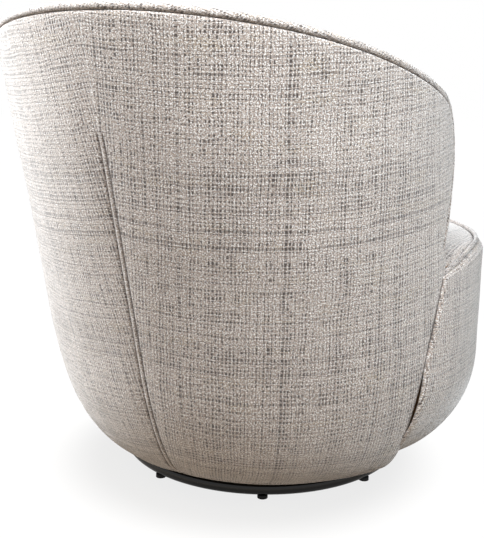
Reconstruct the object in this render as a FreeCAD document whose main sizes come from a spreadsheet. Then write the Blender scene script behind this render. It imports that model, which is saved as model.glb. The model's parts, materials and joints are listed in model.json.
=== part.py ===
import FreeCAD, Part
import math
import os
import Sketcher
from FreeCAD import Placement, Rotation, Vector

# A swivel rocker: a round upholstered tub seat that rocks on a sprung pivot and turns on a
# ball race above a round tube base. Millimetres, +Z up, +Y to the back of the chair,
# +X to the sitter's left. Every piece is drawn with the swivel axis on the Z axis.

doc = FreeCAD.newDocument("swivel_rocker")

SIZES = (
    ("glide_height", 6, "glide between the floor and the ring tube"),
    ("glide_radius", 9, "glide foot"),
    ("glide_stud_radius", 3, "glide stud that is pressed into the tube"),
    ("stud_clearance", 0.05, "glide stud in its hole"),
    ("ring_radius", 257, "base ring, to the tube's middle"),
    ("ring_tube_radius", 12, "base ring tube, outside"),
    ("ring_wall", 2, "base ring tube wall"),
    ("glide_turn", 29, "degrees from the sitter's left to the first glide"),
    ("cross_width", 32, "flat bars of the base cross"),
    ("cross_clearance", 0.8, "ends of the cross bars inside the ring tube"),
    ("cross_thickness", 8, "flat bars of the base cross"),
    ("hub_width", 190, "square hub plate"),
    ("hub_thickness", 6, "square hub plate"),
    ("bearing_plate_width", 170, "lower bearing plate"),
    ("bearing_plate_thickness", 3, "lower bearing plate"),
    ("plate_bolt_place", 72, "bearing plate bolts from the axis, both ways"),
    ("plate_bolt_radius", 4, "bearing plate bolts"),
    ("race_radius", 52, "ball circle of the bearing"),
    ("race_half_width", 9, "each race ring, either side of the ball circle"),
    ("race_height", 6, "each race ring"),
    ("race_gap", 4, "between the two race rings"),
    ("ball_radius", 4, "bearing balls"),
    ("ball_clearance", 0.1, "ball in its grooves and cage"),
    ("cage_thickness", 2, "ball cage"),
    ("king_pin_radius", 8, "pin that holds the bearing together"),
    ("king_pin_end", 2, "king pin above its nut"),
    ("bolt_clearance", 0.3, "bolts and pins in plain holes"),
    ("running_clearance", 0.05, "shafts in their bushes"),
    ("bush_wall", 3, "bush sleeves"),
    ("bush_flange", 2, "thickness of the bush flanges"),
    ("bush_flange_width", 5, "bush flanges beyond their sleeves"),
    ("washer_radius", 17, "king pin washer"),
    ("washer_thickness", 2, "king pin washer"),
    ("nut_radius", 13, "king pin nut, to its corners"),
    ("nut_height", 10, "king pin nut"),
    ("swivel_width", 200, "swivel plate, side to side"),
    ("swivel_length", 264, "swivel plate, front to back"),
    ("swivel_thickness", 4, "swivel plate"),
    ("pivot_height", 110, "rocking axis above the floor"),
    ("bracket_place", 88, "inner face of a pivot bracket from the middle"),
    ("bracket_thickness", 5, "pivot brackets"),
    ("bracket_half_width", 32, "foot of a pivot bracket, front and back of the axis"),
    ("bracket_eye_radius", 17, "rounded head of a pivot bracket"),
    ("shaft_radius", 8, "pivot shaft"),
    ("hanger_thickness", 5, "hanger plates on the shaft"),
    ("hanger_half_width", 40, "hanger plates, front and back of the axis"),
    ("hanger_eye_radius", 16, "rounded foot of a hanger plate"),
    ("collar_length", 8, "shaft collars"),
    ("collar_radius", 14, "shaft collars"),
    ("mounting_rise", 21, "from the rocking axis up to the mounting plate"),
    ("mounting_thickness", 4, "mounting plate"),
    ("mounting_width", 250, "mounting plate, side to side"),
    ("mounting_length", 270, "mounting plate, front to back"),
    ("spring_place_x", 52, "coil springs from the middle, sideways"),
    ("spring_place_y", 76, "coil springs from the rocking axis"),
    ("spring_radius", 17.5, "coil springs, to the middle of the wire"),
    ("spring_wire_radius", 2.5, "coil spring wire"),
    ("spring_turns", 6, "turns of each coil spring"),
    ("spring_seat_clearance", 0.3, "coil spring above and below its seats"),
    ("cup_wall", 2, "spring cups"),
    ("cup_height", 6, "spring cups"),
    ("cup_clearance", 1, "coil spring inside its cup"),
    ("stop_place_x", 30, "bump stops from the middle, sideways"),
    ("stop_place_y", 119, "bump stops from the rocking axis"),
    ("stop_radius", 11, "rubber of the bump stops"),
    ("stop_post_radius", 9, "posts of the bump stops"),
    ("stop_rubber", 14, "height of that rubber"),
    ("stop_clearance", 0.5, "bump stop below the mounting plate at the end of the travel"),
    ("rock_angle", 5, "degrees of rocking each way"),
    ("mounting_bolt_x", 100, "mounting bolts from the middle, sideways"),
    ("mounting_bolt_y", 105, "mounting bolts from the rocking axis"),
    ("mounting_bolt_radius", 4, "mounting bolts"),
    ("bolt_head_radius", 8, "bolt heads, to their corners"),
    ("bolt_head_height", 5, "bolt heads"),
    ("shell_level", 300, "height at which the shell's circle and the arm front are given"),
    ("shell_radius", 386.6, "outside of the shell at that level"),
    ("shell_centre", 22.9, "centre of the shell's circle behind the swivel axis at that level"),
    ("shell_taper", 0.033, "drawing in of the shell's radius for each mm of height"),
    ("shell_lean", 0.2666, "leaning back of the shell's centre for each mm of height"),
    ("shell_top", 840, "level above the rim to which the shell is drawn before its rim is cut"),
    ("bowl_top", 253, "level where the shell starts to round in"),
    ("lip_height", 47, "lowest edge of the shell"),
    ("lip_radius", 312, "circle of the lowest edge"),
    ("lip_centre", -20, "centre of that circle behind the swivel axis"),
    ("drum_radius", 398, "outside of the seat drum"),
    ("drum_centre", 5, "centre of the drum behind the swivel axis"),
    ("drum_bowl_top", 235, "level where the drum starts to round in"),
    ("drum_low", 70, "lowest edge of the drum"),
    ("drum_low_radius", 292, "circle of the drum's lowest edge"),
    ("drum_low_centre", -9, "centre of that circle behind the swivel axis"),
    ("rim_back_height", 799.5, "top of the rim at the middle of the back"),
    ("rim_front_height", 661.5, "height of the rim's line above the front of the arms"),
    ("rim_front_y", 52, "place of that height behind the swivel axis"),
    ("rim_rise", 9, "swell of the rim's line above a straight one"),
    ("arm_corner_radius", 95, "rounding between the rim and the front of the arm"),
    ("arm_front", 130, "front edge of the arm behind the swivel axis at the shell level"),
    ("arm_rake", 0.275, "leaning forward of that edge for each mm of height"),
    ("arm_tuck", 105, "drawing forward of that edge towards the floor"),
    ("tuck_low", 20, "lowest level of the arc that the edge follows there"),
    ("tuck_middle", 150, "level of that arc's middle point"),
    ("cutting_reach", 700, "half size of the blocks that cut the walls"),
    ("cover_thickness", 6, "outside cover with its wadding"),
    ("board_thickness", 5, "bent shell board under the outside cover"),
    ("apron_thickness", 14, "front apron, cover on foam"),
    ("panel_thickness", 6, "bent panel under the apron"),
    ("panel_drop", 10, "top of that panel below the top of the foam"),
    ("layer_gap", 0.3, "between one layer and the next"),
    ("seam_gap", 0.6, "between the apron and the shell cover, and at the back seam"),
    ("rail_inset", 11.6, "top rail and posts inside the shell's outside"),
    ("rail_depth", 33, "top rail and posts, towards the sitter"),
    ("rail_height", 30, "top rail, and width of the arm posts"),
    ("post_setback", 1, "back posts inside the top rail's outside and its inside"),
    ("joint_clearance", 0.1, "wooden pieces that are butted or holed"),
    ("pad_inset", 46, "back of the inside back pad inside the shell's outside"),
    ("pad_low_inset", 96, "sitter's side of the pad at the seat"),
    ("pad_low_height", 430, "level up to which it stays there"),
    ("pad_lumbar_inset", 101, "sitter's side of the pad at its fullest"),
    ("pad_lumbar_height", 500, "level where the pad is fullest"),
    ("pad_upper_inset", 91, "sitter's side of the pad at the shoulders"),
    ("pad_upper_height", 620, "level of the shoulders"),
    ("pad_top_inset", 82, "sitter's side of the pad at the rim"),
    ("pad_top_height", 720, "level from which it stays there"),
    ("roll_thickness", 13.7, "padded roll over the rim and the front of the arms"),
    ("welt_radius", 5.3, "rim welt"),
    ("welt_room", 12, "square room left for the rim welt"),
    ("welt_clearance", 1.2, "cover and roll round that room"),
    ("opening_radius", 277, "opening under the seat, clear of the base ring"),
    ("bottom_board_low", 84.5, "underside of the bottom board"),
    ("bottom_board_thickness", 15, "bottom board"),
    ("bottom_board_opening", 150, "opening of the bottom board round the rocker unit"),
    ("rail_block_length", 40, "blocks under the cross rails, along the rail"),
    ("cross_rail_half_length", 255, "cross rails, from the middle"),
    ("cross_rail_width", 60, "cross rails"),
    ("cross_rail_thickness", 25, "cross rails"),
    ("post_circle", 288, "lower posts from the swivel axis"),
    ("post_depth", 45, "lower posts, towards the axis"),
    ("post_width", 30, "posts, along the wall"),
    ("seat_rail_low", 335, "underside of the seat rail"),
    ("seat_rail_thickness", 18, "seat rail"),
    ("seat_rail_opening", 262, "opening of the seat rail under the seat springs"),
    ("zigzag_wire_radius", 1.9, "zigzag seat spring wire"),
    ("zigzag_bend", 9, "bend of the zigzag spring, to the middle of the wire"),
    ("zigzag_half_width", 24, "zigzag spring, either side of its middle"),
    ("zigzag_spacing", 104, "from one zigzag spring to the next"),
    ("spring_bearing", 8, "zigzag springs on the rail beyond its opening"),
    ("clip_setback", 14, "seat spring clips beyond the opening"),
    ("clip_length", 12, "seat spring clips, front to back"),
    ("clip_width", 26, "seat spring clips"),
    ("insulator_thickness", 4, "felt over the seat springs"),
    ("foam_top", 415, "top of the seat foam"),
    ("seat_edge_height", 424, "middle of the seat welt"),
    ("seat_crown_rise", 29.7, "highest point of the seat above the edge of its top"),
    ("seat_welt_radius", 5.5, "seat welt"),
    ("seat_pad_edge", 11, "thickness of the seat top at its edge"),
    ("seat_edge_draw", 3, "drawing in of that edge above and below"),
    ("seat_tuck", 18, "seat welt inside the drum's outside"),
    ("seat_side_gap", 1.6, "foam and seat top inside the back pad"),
    ("wing_gap", 2, "between the seat's wings and the front of the arms"),
    ("cambric_thickness", 1.5, "dust cover"),
    ("cambric_clearance", 1, "dust cover inside the lip strip"),
    ("screw_radius", 2.5, "frame screws"),
    ("screw_head_radius", 5, "frame screws"),
    ("screw_length", 50, "frame screws"),
    ("screw_sink", 3, "countersinks of the frame screws"),
)
GLIDE_COUNT = 8
BALL_COUNT = 24
BACK_POST_TURNS = (-62, -31, 0, 31, 62)
POST_COUNT = 8
ZIGZAG_COUNT = 5

sheet = doc.addObject("Spreadsheet::Sheet", "Sizes")
for row, (alias, value, note) in enumerate(SIZES, start=1):
    sheet.set("A%d" % row, alias)
    sheet.set("B%d" % row, str(value))
    sheet.setAlias("B%d" % row, alias)
    sheet.set("C%d" % row, note)
doc.recompute()


class Length:
    """A size: its number, and the same size as an expression on the sheet's cells."""

    def __init__(self, number, text):
        self.number = number
        self.text = text

    def __float__(self):
        return self.number

    def __add__(self, other):
        return joined(self, other, "+", self.number + float(other))

    def __radd__(self, other):
        return joined(other, self, "+", float(other) + self.number)

    def __sub__(self, other):
        return joined(self, other, "-", self.number - float(other))

    def __rsub__(self, other):
        return joined(other, self, "-", float(other) - self.number)

    def __mul__(self, other):
        return joined(self, other, "*", self.number * float(other))

    def __rmul__(self, other):
        return joined(other, self, "*", float(other) * self.number)

    def __truediv__(self, other):
        return joined(self, other, "/", self.number / float(other))

    def __neg__(self):
        return 0 - self


def text_of(value):
    return value.text if isinstance(value, Length) else "%.9f" % value


def joined(first, second, sign, number):
    return Length(number, "(%s %s %s)" % (text_of(first), sign, text_of(second)))


class Cells:
    pass


cell = Cells()
for alias, value, note in SIZES:
    setattr(cell, alias, Length(float(sheet.get(alias)), "Sizes." + alias))
num = Cells()
for alias, value, note in SIZES:
    setattr(num, alias, float(sheet.get(alias)))

# Levels of the stack, from the floor up.
ring_level = cell.glide_height + cell.ring_tube_radius
cross_low = ring_level - cell.cross_thickness / 2
hub_low = ring_level + cell.cross_thickness / 2
plate_low = hub_low + cell.hub_thickness
lower_race_low = plate_low + cell.bearing_plate_thickness
ball_level = lower_race_low + cell.race_height + cell.race_gap / 2
upper_race_low = ball_level + cell.race_gap / 2
swivel_low = upper_race_low + cell.race_height
swivel_top = swivel_low + cell.swivel_thickness
washer_low = swivel_top + cell.bush_flange + cell.running_clearance
nut_low = washer_low + cell.washer_thickness
mounting_low = cell.pivot_height + cell.mounting_rise
mounting_top = mounting_low + cell.mounting_thickness
board_top = cell.bottom_board_low + cell.bottom_board_thickness
cross_rail_top = mounting_top + cell.cross_rail_thickness
seat_rail_top = cell.seat_rail_low + cell.seat_rail_thickness
spring_wire_top = seat_rail_top + 2 * cell.zigzag_wire_radius + cell.layer_gap
insulator_top = spring_wire_top + cell.layer_gap + cell.insulator_thickness
seam_side = (-1, 1)
corners = [(x, y) for x in seam_side for y in seam_side]
nodes = []


# Ways to make a piece whose sizes follow the sheet.

def bind(item, name, length):
    item.setExpression(name, text_of(length))


def place(item, x=0, y=0, z=0):
    for axis, value in (("x", x), ("y", y), ("z", z)):
        bind(item, "Placement.Base." + axis, value)


def keep(item, label):
    """Make an object a piece of the chair."""
    item.Label = label
    nodes.append(item)
    return item


def helper(kind, **lengths):
    """A Part primitive or boolean that another object is made from."""
    item = doc.addObject(kind, "Helper")
    for name, length in lengths.items():
        bind(item, name, length)
    return item


def cylinder(radius, height, x=0, y=0, z=0):
    item = helper("Part::Cylinder", Radius=radius, Height=height)
    place(item, x, y, z)
    return item


def box(length, width, height, x, y, z):
    item = helper("Part::Box", Length=length, Width=width, Height=height)
    place(item, x, y, z)
    return item


def group(items):
    item = doc.addObject("Part::Compound", "Group")
    item.Links = items
    return item


def cut(base, tool):
    item = doc.addObject("Part::Cut", "Cut")
    item.Base, item.Tool = base, tool
    return item


def fuse(base, tool):
    item = doc.addObject("Part::Fuse", "Joined")
    item.Base, item.Tool = base, tool
    return item


def body(label):
    return keep(doc.addObject("PartDesign::Body", label), label)


def sketch(owner, role, level=None):
    item = owner.newObject("Sketcher::SketchObject", "Sketch")
    plane = next(f for f in owner.Origin.OriginFeatures if f.Role == role)
    item.AttachmentSupport = (plane, [""])
    item.MapMode = "FlatFace"
    if level is not None:
        bind(item, "AttachmentOffset.Base.z", level)
    return item


def constrain(drawing, kind, places, length):
    index = drawing.addConstraint(Sketcher.Constraint(kind, *places, float(length)))
    bind(drawing, "Constraints[%d]" % index, length)


def draw_circle(drawing, x, y, radius):
    circle = Part.Circle(Vector(float(x), float(y), 0), Vector(0, 0, 1), float(radius))
    index = drawing.addGeometry(circle, False)
    constrain(drawing, "Radius", (index,), radius)
    constrain(drawing, "DistanceX", (-1, 1, index, 3), x)
    constrain(drawing, "DistanceY", (-1, 1, index, 3), y)


def draw_outline(drawing, points):
    """A closed outline of straight lines through the points."""
    spots = [Vector(float(x), float(y), 0) for x, y in points]
    first = None
    for start, end in zip(spots, spots[1:] + spots[:1]):
        index = drawing.addGeometry(Part.LineSegment(start, end), False)
        first = index if first is None else first
    for step, (x, y) in enumerate(points):
        line = first + step
        before = first + (step - 1) % len(points)
        drawing.addConstraint(Sketcher.Constraint("Coincident", before, 2, line, 1))
        constrain(drawing, "DistanceX", (-1, 1, line, 1), x)
        constrain(drawing, "DistanceY", (-1, 1, line, 1), y)


def rectangle(half_x, half_y):
    return [(-half_x, -half_y), (half_x, -half_y), (half_x, half_y), (-half_x, half_y)]


def pad(owner, drawing, length):
    item = owner.newObject("PartDesign::Pad", "Pad")
    item.Profile = drawing
    bind(item, "Length", length)
    return item


def plate(label, low, thickness, outline=None, circle=None, holes=()):
    """A flat piece: a square or round outline with round holes through it."""
    owner = body(label)
    drawing = sketch(owner, "XY_Plane", low)
    if outline is not None:
        draw_outline(drawing, outline)
    if circle is not None:
        draw_circle(drawing, 0, 0, circle)
    for x, y, radius in holes:
        draw_circle(drawing, x, y, radius)
    pad(owner, drawing, thickness)
    return owner


def turned(label, points):
    """A piece turned about the swivel axis: radius and height of each corner of its half section."""
    owner = body(label)
    drawing = sketch(owner, "XZ_Plane")
    draw_outline(drawing, points)
    item = owner.newObject("PartDesign::Revolution", "Revolution")
    item.Profile = drawing
    item.ReferenceAxis = (drawing, ["V_Axis"])
    item.Angle = 360
    return owner


def solid_piece(label, shape):
    """A soft or bent form whose shape is worked out below from the sheet's sizes."""
    item = doc.addObject("Part::Feature", label)
    item.Shape = shape
    return keep(item, label)


# Base: glides, ring tube, cross, hub plate.

def around(count, start=0.0):
    for step in range(count):
        angle = start + 2 * math.pi * step / count
        yield math.cos(angle), math.sin(angle)


def base_ring():
    tube = helper("Part::Torus", Radius1=cell.ring_radius, Radius2=cell.ring_tube_radius)
    hollow = helper("Part::Torus", Radius1=cell.ring_radius,
                    Radius2=cell.ring_tube_radius - cell.ring_wall)
    for item in (tube, hollow):
        place(item, z=ring_level)
    holes = [cylinder(cell.glide_stud_radius + cell.stud_clearance, ring_level,
                      cell.ring_radius * x, cell.ring_radius * y, 0)
             for x, y in around(GLIDE_COUNT, math.radians(num.glide_turn))]
    keep(cut(cut(tube, hollow), group(holes)), "base_ring")


def foot_glides():
    feet = []
    for x, y in around(GLIDE_COUNT, math.radians(num.glide_turn)):
        spot = (cell.ring_radius * x, cell.ring_radius * y, 0)
        foot = cylinder(cell.glide_radius, cell.glide_height, *spot)
        stud = cylinder(cell.glide_stud_radius, cell.glide_height + 3 * cell.ring_wall, *spot)
        feet.append(fuse(foot, stud))
    keep(group(feet), "foot_glides")


def base_cross():
    reach = cell.ring_radius - cell.ring_tube_radius - cell.cross_clearance
    bar_x = box(2 * reach, cell.cross_width, cell.cross_thickness,
                -reach, -cell.cross_width / 2, cross_low)
    bar_y = box(cell.cross_width, 2 * reach, cell.cross_thickness,
                -cell.cross_width / 2, -reach, cross_low)
    keep(fuse(bar_x, bar_y), "base_cross")


bolt_places = [(cell.plate_bolt_place * x, cell.plate_bolt_place * y) for x, y in corners]
bolt_hole = cell.plate_bolt_radius + cell.bolt_clearance
pin_hole = cell.king_pin_radius + cell.bolt_clearance


def hub_and_bearing_plates():
    holes = [(x, y, bolt_hole) for x, y in bolt_places] + [(0, 0, pin_hole)]
    half = cell.hub_width / 2
    plate("hub_plate", hub_low, cell.hub_thickness, rectangle(half, half), holes=holes)
    half = cell.bearing_plate_width / 2
    plate("lower_bearing_plate", plate_low, cell.bearing_plate_thickness,
          rectangle(half, half), holes=holes)


def bolts(label, spots, low, high, shank, head_below=True, head_height=None):
    """A row of bolts: a six-sided head and a shank."""
    height = cell.bolt_head_height if head_height is None else head_height
    made = []
    for x, y in spots:
        head = helper("Part::Prism", Circumradius=cell.bolt_head_radius, Height=height)
        head.Polygon = 6
        place(head, x, y, low - height if head_below else high)
        made.append(fuse(cylinder(shank, high - low, x, y, low), head))
    keep(group(made), label)


def race(label, low):
    """A race ring with the groove that the balls run in."""
    inner = cell.race_radius - cell.race_half_width
    outer = cell.race_radius + cell.race_half_width
    ring = cut(cylinder(outer, cell.race_height, 0, 0, low),
               cylinder(inner, cell.race_height, 0, 0, low))
    groove = helper("Part::Torus", Radius1=cell.race_radius,
                    Radius2=cell.ball_radius + cell.ball_clearance)
    place(groove, z=ball_level)
    keep(cut(ring, groove), label)


def ball_bearing():
    race("lower_race", lower_race_low)
    race("upper_race", upper_race_low)
    balls, holes = [], []
    for x, y in around(BALL_COUNT):
        ball = helper("Part::Sphere", Radius=cell.ball_radius)
        place(ball, cell.race_radius * x, cell.race_radius * y, ball_level)
        balls.append(ball)
        holes.append((cell.race_radius * x, cell.race_radius * y,
                      cell.ball_radius + cell.ball_clearance))
    keep(group(balls), "bearing_balls")
    holes.append((0, 0, cell.race_radius - cell.race_half_width))
    plate("ball_cage", ball_level - cell.cage_thickness / 2, cell.cage_thickness,
          circle=cell.race_radius + cell.race_half_width, holes=holes)


def king_pin():
    top = nut_low + cell.nut_height + cell.king_pin_end
    keep(group([cylinder(cell.king_pin_radius, top - hub_low, 0, 0, hub_low)]), "king_pin")
    nut = helper("Part::Prism", Circumradius=cell.nut_radius, Height=cell.nut_height)
    nut.Polygon = 6
    place(nut, z=nut_low)
    bore = cylinder(cell.king_pin_radius + cell.running_clearance, cell.nut_height, 0, 0, nut_low)
    keep(cut(nut, bore), "lock_nut")
    plate("pin_washer", washer_low, cell.washer_thickness, circle=cell.washer_radius,
          holes=[(0, 0, cell.king_pin_radius + cell.bolt_clearance)])


# Swivel unit: plate, centre bush, pivot brackets and stops.

centre_hole = cell.king_pin_radius + cell.running_clearance + cell.bush_wall


def swivel_plate():
    outline = rectangle(cell.swivel_width / 2, cell.swivel_length / 2)
    plate("swivel_plate", swivel_low, cell.swivel_thickness, outline,
          holes=[(0, 0, centre_hole + cell.running_clearance)])
    bore = cell.king_pin_radius + cell.running_clearance
    flange = centre_hole + cell.bush_flange_width
    turned("centre_bush", [(bore, swivel_low), (centre_hole, swivel_low), (centre_hole, swivel_top),
                           (flange, swivel_top), (flange, swivel_top + cell.bush_flange),
                           (bore, swivel_top + cell.bush_flange)])


def eye_plate(x, thickness, half_width, edge, eye_radius, hole):
    """An upright plate with a straight edge at one level and a round eye at the rocking axis."""
    points = [(-half_width, edge), (half_width, edge), (eye_radius, cell.pivot_height),
              (-eye_radius, cell.pivot_height)]
    drawing = doc.addObject("Sketcher::SketchObject", "Side")
    drawing.Placement = Placement(Vector(0, 0, 0), Rotation(Vector(1, 1, 1), 120))
    draw_outline(drawing, points)
    sheet_metal = doc.addObject("Part::Extrusion", "Web")
    sheet_metal.Base = drawing
    sheet_metal.DirMode = "Custom"
    sheet_metal.Dir = Vector(1, 0, 0)
    sheet_metal.Solid = True
    bind(sheet_metal, "LengthFwd", thickness)
    place(sheet_metal, x)
    eye = across(eye_radius, thickness, x)
    return cut(fuse(sheet_metal, eye), across(hole, thickness, x))


def across(radius, length, x, y=0, z=None):
    """A cylinder that lies from side to side."""
    item = helper("Part::Cylinder", Radius=radius, Height=length)
    item.Placement.Rotation = Rotation(Vector(0, 1, 0), 90)
    place(item, x, y, cell.pivot_height if z is None else z)
    return item


bush_radius = cell.shaft_radius + cell.running_clearance + cell.bush_wall
hanger_inner = cell.bracket_place + cell.bracket_thickness + cell.bush_flange + cell.layer_gap
shaft_end = hanger_inner + cell.hanger_thickness + cell.layer_gap + cell.collar_length


def pivot_brackets():
    made, sleeves = [], []
    for side in seam_side:
        inner = cell.bracket_place if side > 0 else -cell.bracket_place - cell.bracket_thickness
        made.append(eye_plate(inner, cell.bracket_thickness, cell.bracket_half_width, swivel_top,
                              cell.bracket_eye_radius, bush_radius + cell.running_clearance))
        flange = inner + cell.bracket_thickness if side > 0 else inner - cell.bush_flange
        sleeve = fuse(across(bush_radius, cell.bracket_thickness, inner),
                      across(bush_radius + cell.bush_flange_width, cell.bush_flange, flange))
        low = inner if side > 0 else flange
        bore = across(cell.shaft_radius + cell.running_clearance,
                      cell.bracket_thickness + cell.bush_flange, low)
        sleeves.append(cut(sleeve, bore))
    keep(group(made), "pivot_brackets")
    keep(group(sleeves), "pivot_bushes")


def bump_stops():
    """Rubber stops on posts; the mounting plate meets them at the end of the rocking travel."""
    lean = math.radians(num.rock_angle)
    drop = cell.stop_place_y * math.sin(lean) - cell.mounting_rise * (math.cos(lean) - 1)
    top = mounting_low - drop - cell.stop_radius * math.sin(lean) - cell.stop_clearance
    post_top = top - cell.stop_rubber
    spots = [(cell.stop_place_x * x, cell.stop_place_y * y) for x, y in corners]
    posts = [cylinder(cell.stop_post_radius, post_top - swivel_top, x, y, swivel_top)
             for x, y in spots]
    rubbers = [cylinder(cell.stop_radius, cell.stop_rubber, x, y, post_top) for x, y in spots]
    keep(group(posts), "stop_posts")
    keep(group(rubbers), "bump_stops")


# Rocker unit under the seat: shaft, hangers, mounting plate, springs.

def rocker_unit():
    keep(group([across(cell.shaft_radius, 2 * shaft_end, -shaft_end)]), "pivot_shaft")
    hangers, collars = [], []
    bore = cell.shaft_radius + cell.running_clearance
    for side in seam_side:
        inner = hanger_inner if side > 0 else -hanger_inner - cell.hanger_thickness
        hangers.append(eye_plate(inner, cell.hanger_thickness, cell.hanger_half_width, mounting_low,
                                 cell.hanger_eye_radius, bore))
        start = shaft_end - cell.collar_length if side > 0 else -shaft_end
        collars.append(cut(across(cell.collar_radius, cell.collar_length, start),
                           across(bore, cell.collar_length, start)))
    keep(group(hangers), "hanger_plates")
    keep(group(collars), "shaft_collars")
    holes = [(cell.mounting_bolt_x * x, cell.mounting_bolt_y * y,
              cell.mounting_bolt_radius + cell.bolt_clearance) for x, y in corners]
    plate("mounting_plate", mounting_low, cell.mounting_thickness,
          rectangle(cell.mounting_width / 2, cell.mounting_length / 2), holes=holes)


spring_spots = [(cell.spring_place_x * x, cell.spring_place_y * y) for x, y in corners]


def spring_cups(label, low):
    inner = cell.spring_radius + cell.spring_wire_radius + cell.cup_clearance
    cups = [cut(cylinder(inner + cell.cup_wall, cell.cup_height, x, y, low),
                cylinder(inner, cell.cup_height, x, y, low)) for x, y in spring_spots]
    keep(group(cups), label)


def biarc(start, start_way, end, end_way):
    """Two arcs that join two points of a curve with its directions there."""
    chord = end - start
    square = 2 * start_way.dot(end_way) - 2
    along = chord.dot(start_way + end_way)
    root = math.sqrt(4 * along * along - 4 * square * chord.dot(chord))
    reach = (2 * along - root) / (2 * square) if abs(square) > 1e-9 else chord.dot(chord) / (2 * along)
    reach = abs(reach)
    first, last = start + start_way * reach, end - end_way * reach
    middle = (first + last) * 0.5
    return arc_to(start, start_way, middle) + arc_to(middle, (last - first).normalize(), end)


def arc_to(start, way, end):
    """The arc that leaves a point in a given direction and reaches another one."""
    chord = end - start
    across_way = chord - way * chord.dot(way)
    if across_way.Length < 1e-6 * chord.Length:
        return [Part.LineSegment(start, end).toShape()]
    radius = chord.dot(chord) / (2 * across_way.Length)
    centre = start + across_way.normalize() * radius
    to_middle = (start + end) * 0.5 - centre
    bulge = centre + to_middle.normalize() * radius
    return [Part.Arc(start, bulge, end).toShape()]


def tube_along(points, ways, radius):
    """A round tube of one radius that follows the points, with round ends."""
    edges = []
    for step in range(len(points) - 1):
        edges += biarc(points[step], ways[step], points[step + 1], ways[step + 1])
    path = Part.Wire(edges)
    section = Part.Wire(Part.Circle(points[0], ways[0], radius).toShape())
    return path.makePipeShell([section], True, False)


def coil_spring(x, y):
    """A coil spring between the swivel plate and the mounting plate."""
    low = swivel_top.number + num.spring_wire_radius + num.spring_seat_clearance
    high = mounting_low.number - num.spring_wire_radius - num.spring_seat_clearance
    quarters = int(round(num.spring_turns)) * 4
    points, ways = [], []
    for step in range(quarters + 1):
        angle = math.pi / 2 * step
        share = step / quarters
        height = low + (high - low) * share
        slope = (high - low) / (quarters * math.pi / 2)
        points.append(Vector(x + num.spring_radius * math.cos(angle),
                             y + num.spring_radius * math.sin(angle), height))
        ways.append(Vector(-num.spring_radius * math.sin(angle),
                           num.spring_radius * math.cos(angle), slope).normalize())
    print("coil spring's least gap to itself:", round(least_gap(points, quarters // 4), 2))
    return tube_along(points, ways, num.spring_wire_radius)


def least_gap(points, turns):
    """The least gap between the wire's surfaces from one turn to the next."""
    quarter_steps = (len(points) - 1) // turns
    apart = [(points[step + quarter_steps] - points[step]).Length
             for step in range(len(points) - quarter_steps)]
    return min(apart) - 2 * num.spring_wire_radius


def rocker_springs():
    for name, side in (("rear", 1), ("front", -1)):
        pair = [coil_spring(num.spring_place_x * x, num.spring_place_y * side) for x in seam_side]
        solid_piece("rocker_springs_" + name, Part.makeCompound(pair))


# The outside of the shell and of the seat drum: circles whose centre and radius change with
# height, straight above a level and rounded in like a quarter of an ellipse below it.

def shell_circle(height, inset=0.0):
    rise = height - num.shell_level
    return (num.shell_centre + num.shell_lean * rise,
            num.shell_radius - num.shell_taper * rise - inset)


def drum_circle(height, inset=0.0):
    return num.drum_centre, num.drum_radius - inset


def ring_wire(centre, radius, height):
    """A full circle drawn as three arcs."""
    spots = [Vector(-radius * math.sin(turn), centre + radius * math.cos(turn), height)
             for turn in (math.pi / 3 * step for step in range(6))]
    arcs = [Part.Arc(spots[k], spots[k + 1], spots[(k + 2) % 6]).toShape() for k in (0, 2, 4)]
    return Part.Wire(arcs)


def bowl_solid(circle_at, bowl_top, low, low_centre, low_radius, top, inset):
    """Solid inside the outer surface, the inset further in."""
    wires = []
    steps = 6
    floor_level = low + inset
    low_straight = circle_at(floor_level, inset)
    for step in range(steps, -1, -1):
        angle = math.pi / 2 * step / steps
        height = bowl_top - (bowl_top - floor_level) * math.sin(angle)
        share = 1 - math.cos(angle)
        centre, radius = circle_at(height, inset)
        centre -= (low_straight[0] - low_centre) * share
        radius -= (low_straight[1] - low_radius) * share
        wires.append(ring_wire(centre, radius, height))
    bowl = Part.makeLoft(wires, True, False)
    upper = Part.makeLoft([wires[-1], ring_wire(*circle_at(top, inset), top)], True, True)
    return bowl.fuse(upper)


def barrel(inset):
    return bowl_solid(shell_circle, num.bowl_top, num.lip_height, num.lip_centre, num.lip_radius,
                      num.shell_top, inset)


def drum(inset, top):
    return bowl_solid(drum_circle, num.drum_bowl_top, num.drum_low, num.drum_low_centre,
                      num.drum_low_radius, top, inset)


def arm_line(height):
    """Front edge of the arm, seen from the side."""
    rise = height - num.shell_level
    tuck = num.arm_tuck * (min(rise, 0) / num.shell_level) ** 2
    return num.arm_front - num.arm_rake * rise - tuck


# The rim is cut by one wide arc, seen from the side.
back_centre, back_radius = shell_circle(num.rim_back_height)
rim_back = Vector(0, back_centre + back_radius, num.rim_back_height)
rim_front = Vector(0, num.rim_front_y, num.rim_front_height)
chord = rim_back - rim_front
chord_up = Vector(0, -chord.z, chord.y).normalize()
rim_middle = (rim_back + rim_front) * 0.5 + chord_up * num.rim_rise
rim_radius = chord.Length ** 2 / (8 * num.rim_rise) + num.rim_rise / 2
rim_centre = rim_middle - chord_up * rim_radius
arm_way = Vector(0, -num.arm_rake, 1).normalize()
arm_back = Vector(0, 1, num.arm_rake).normalize()


def rim_height(y, drop=0.0):
    reach = rim_radius - drop
    return rim_centre.z + math.sqrt(reach * reach - (y - rim_centre.y) ** 2)


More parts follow.
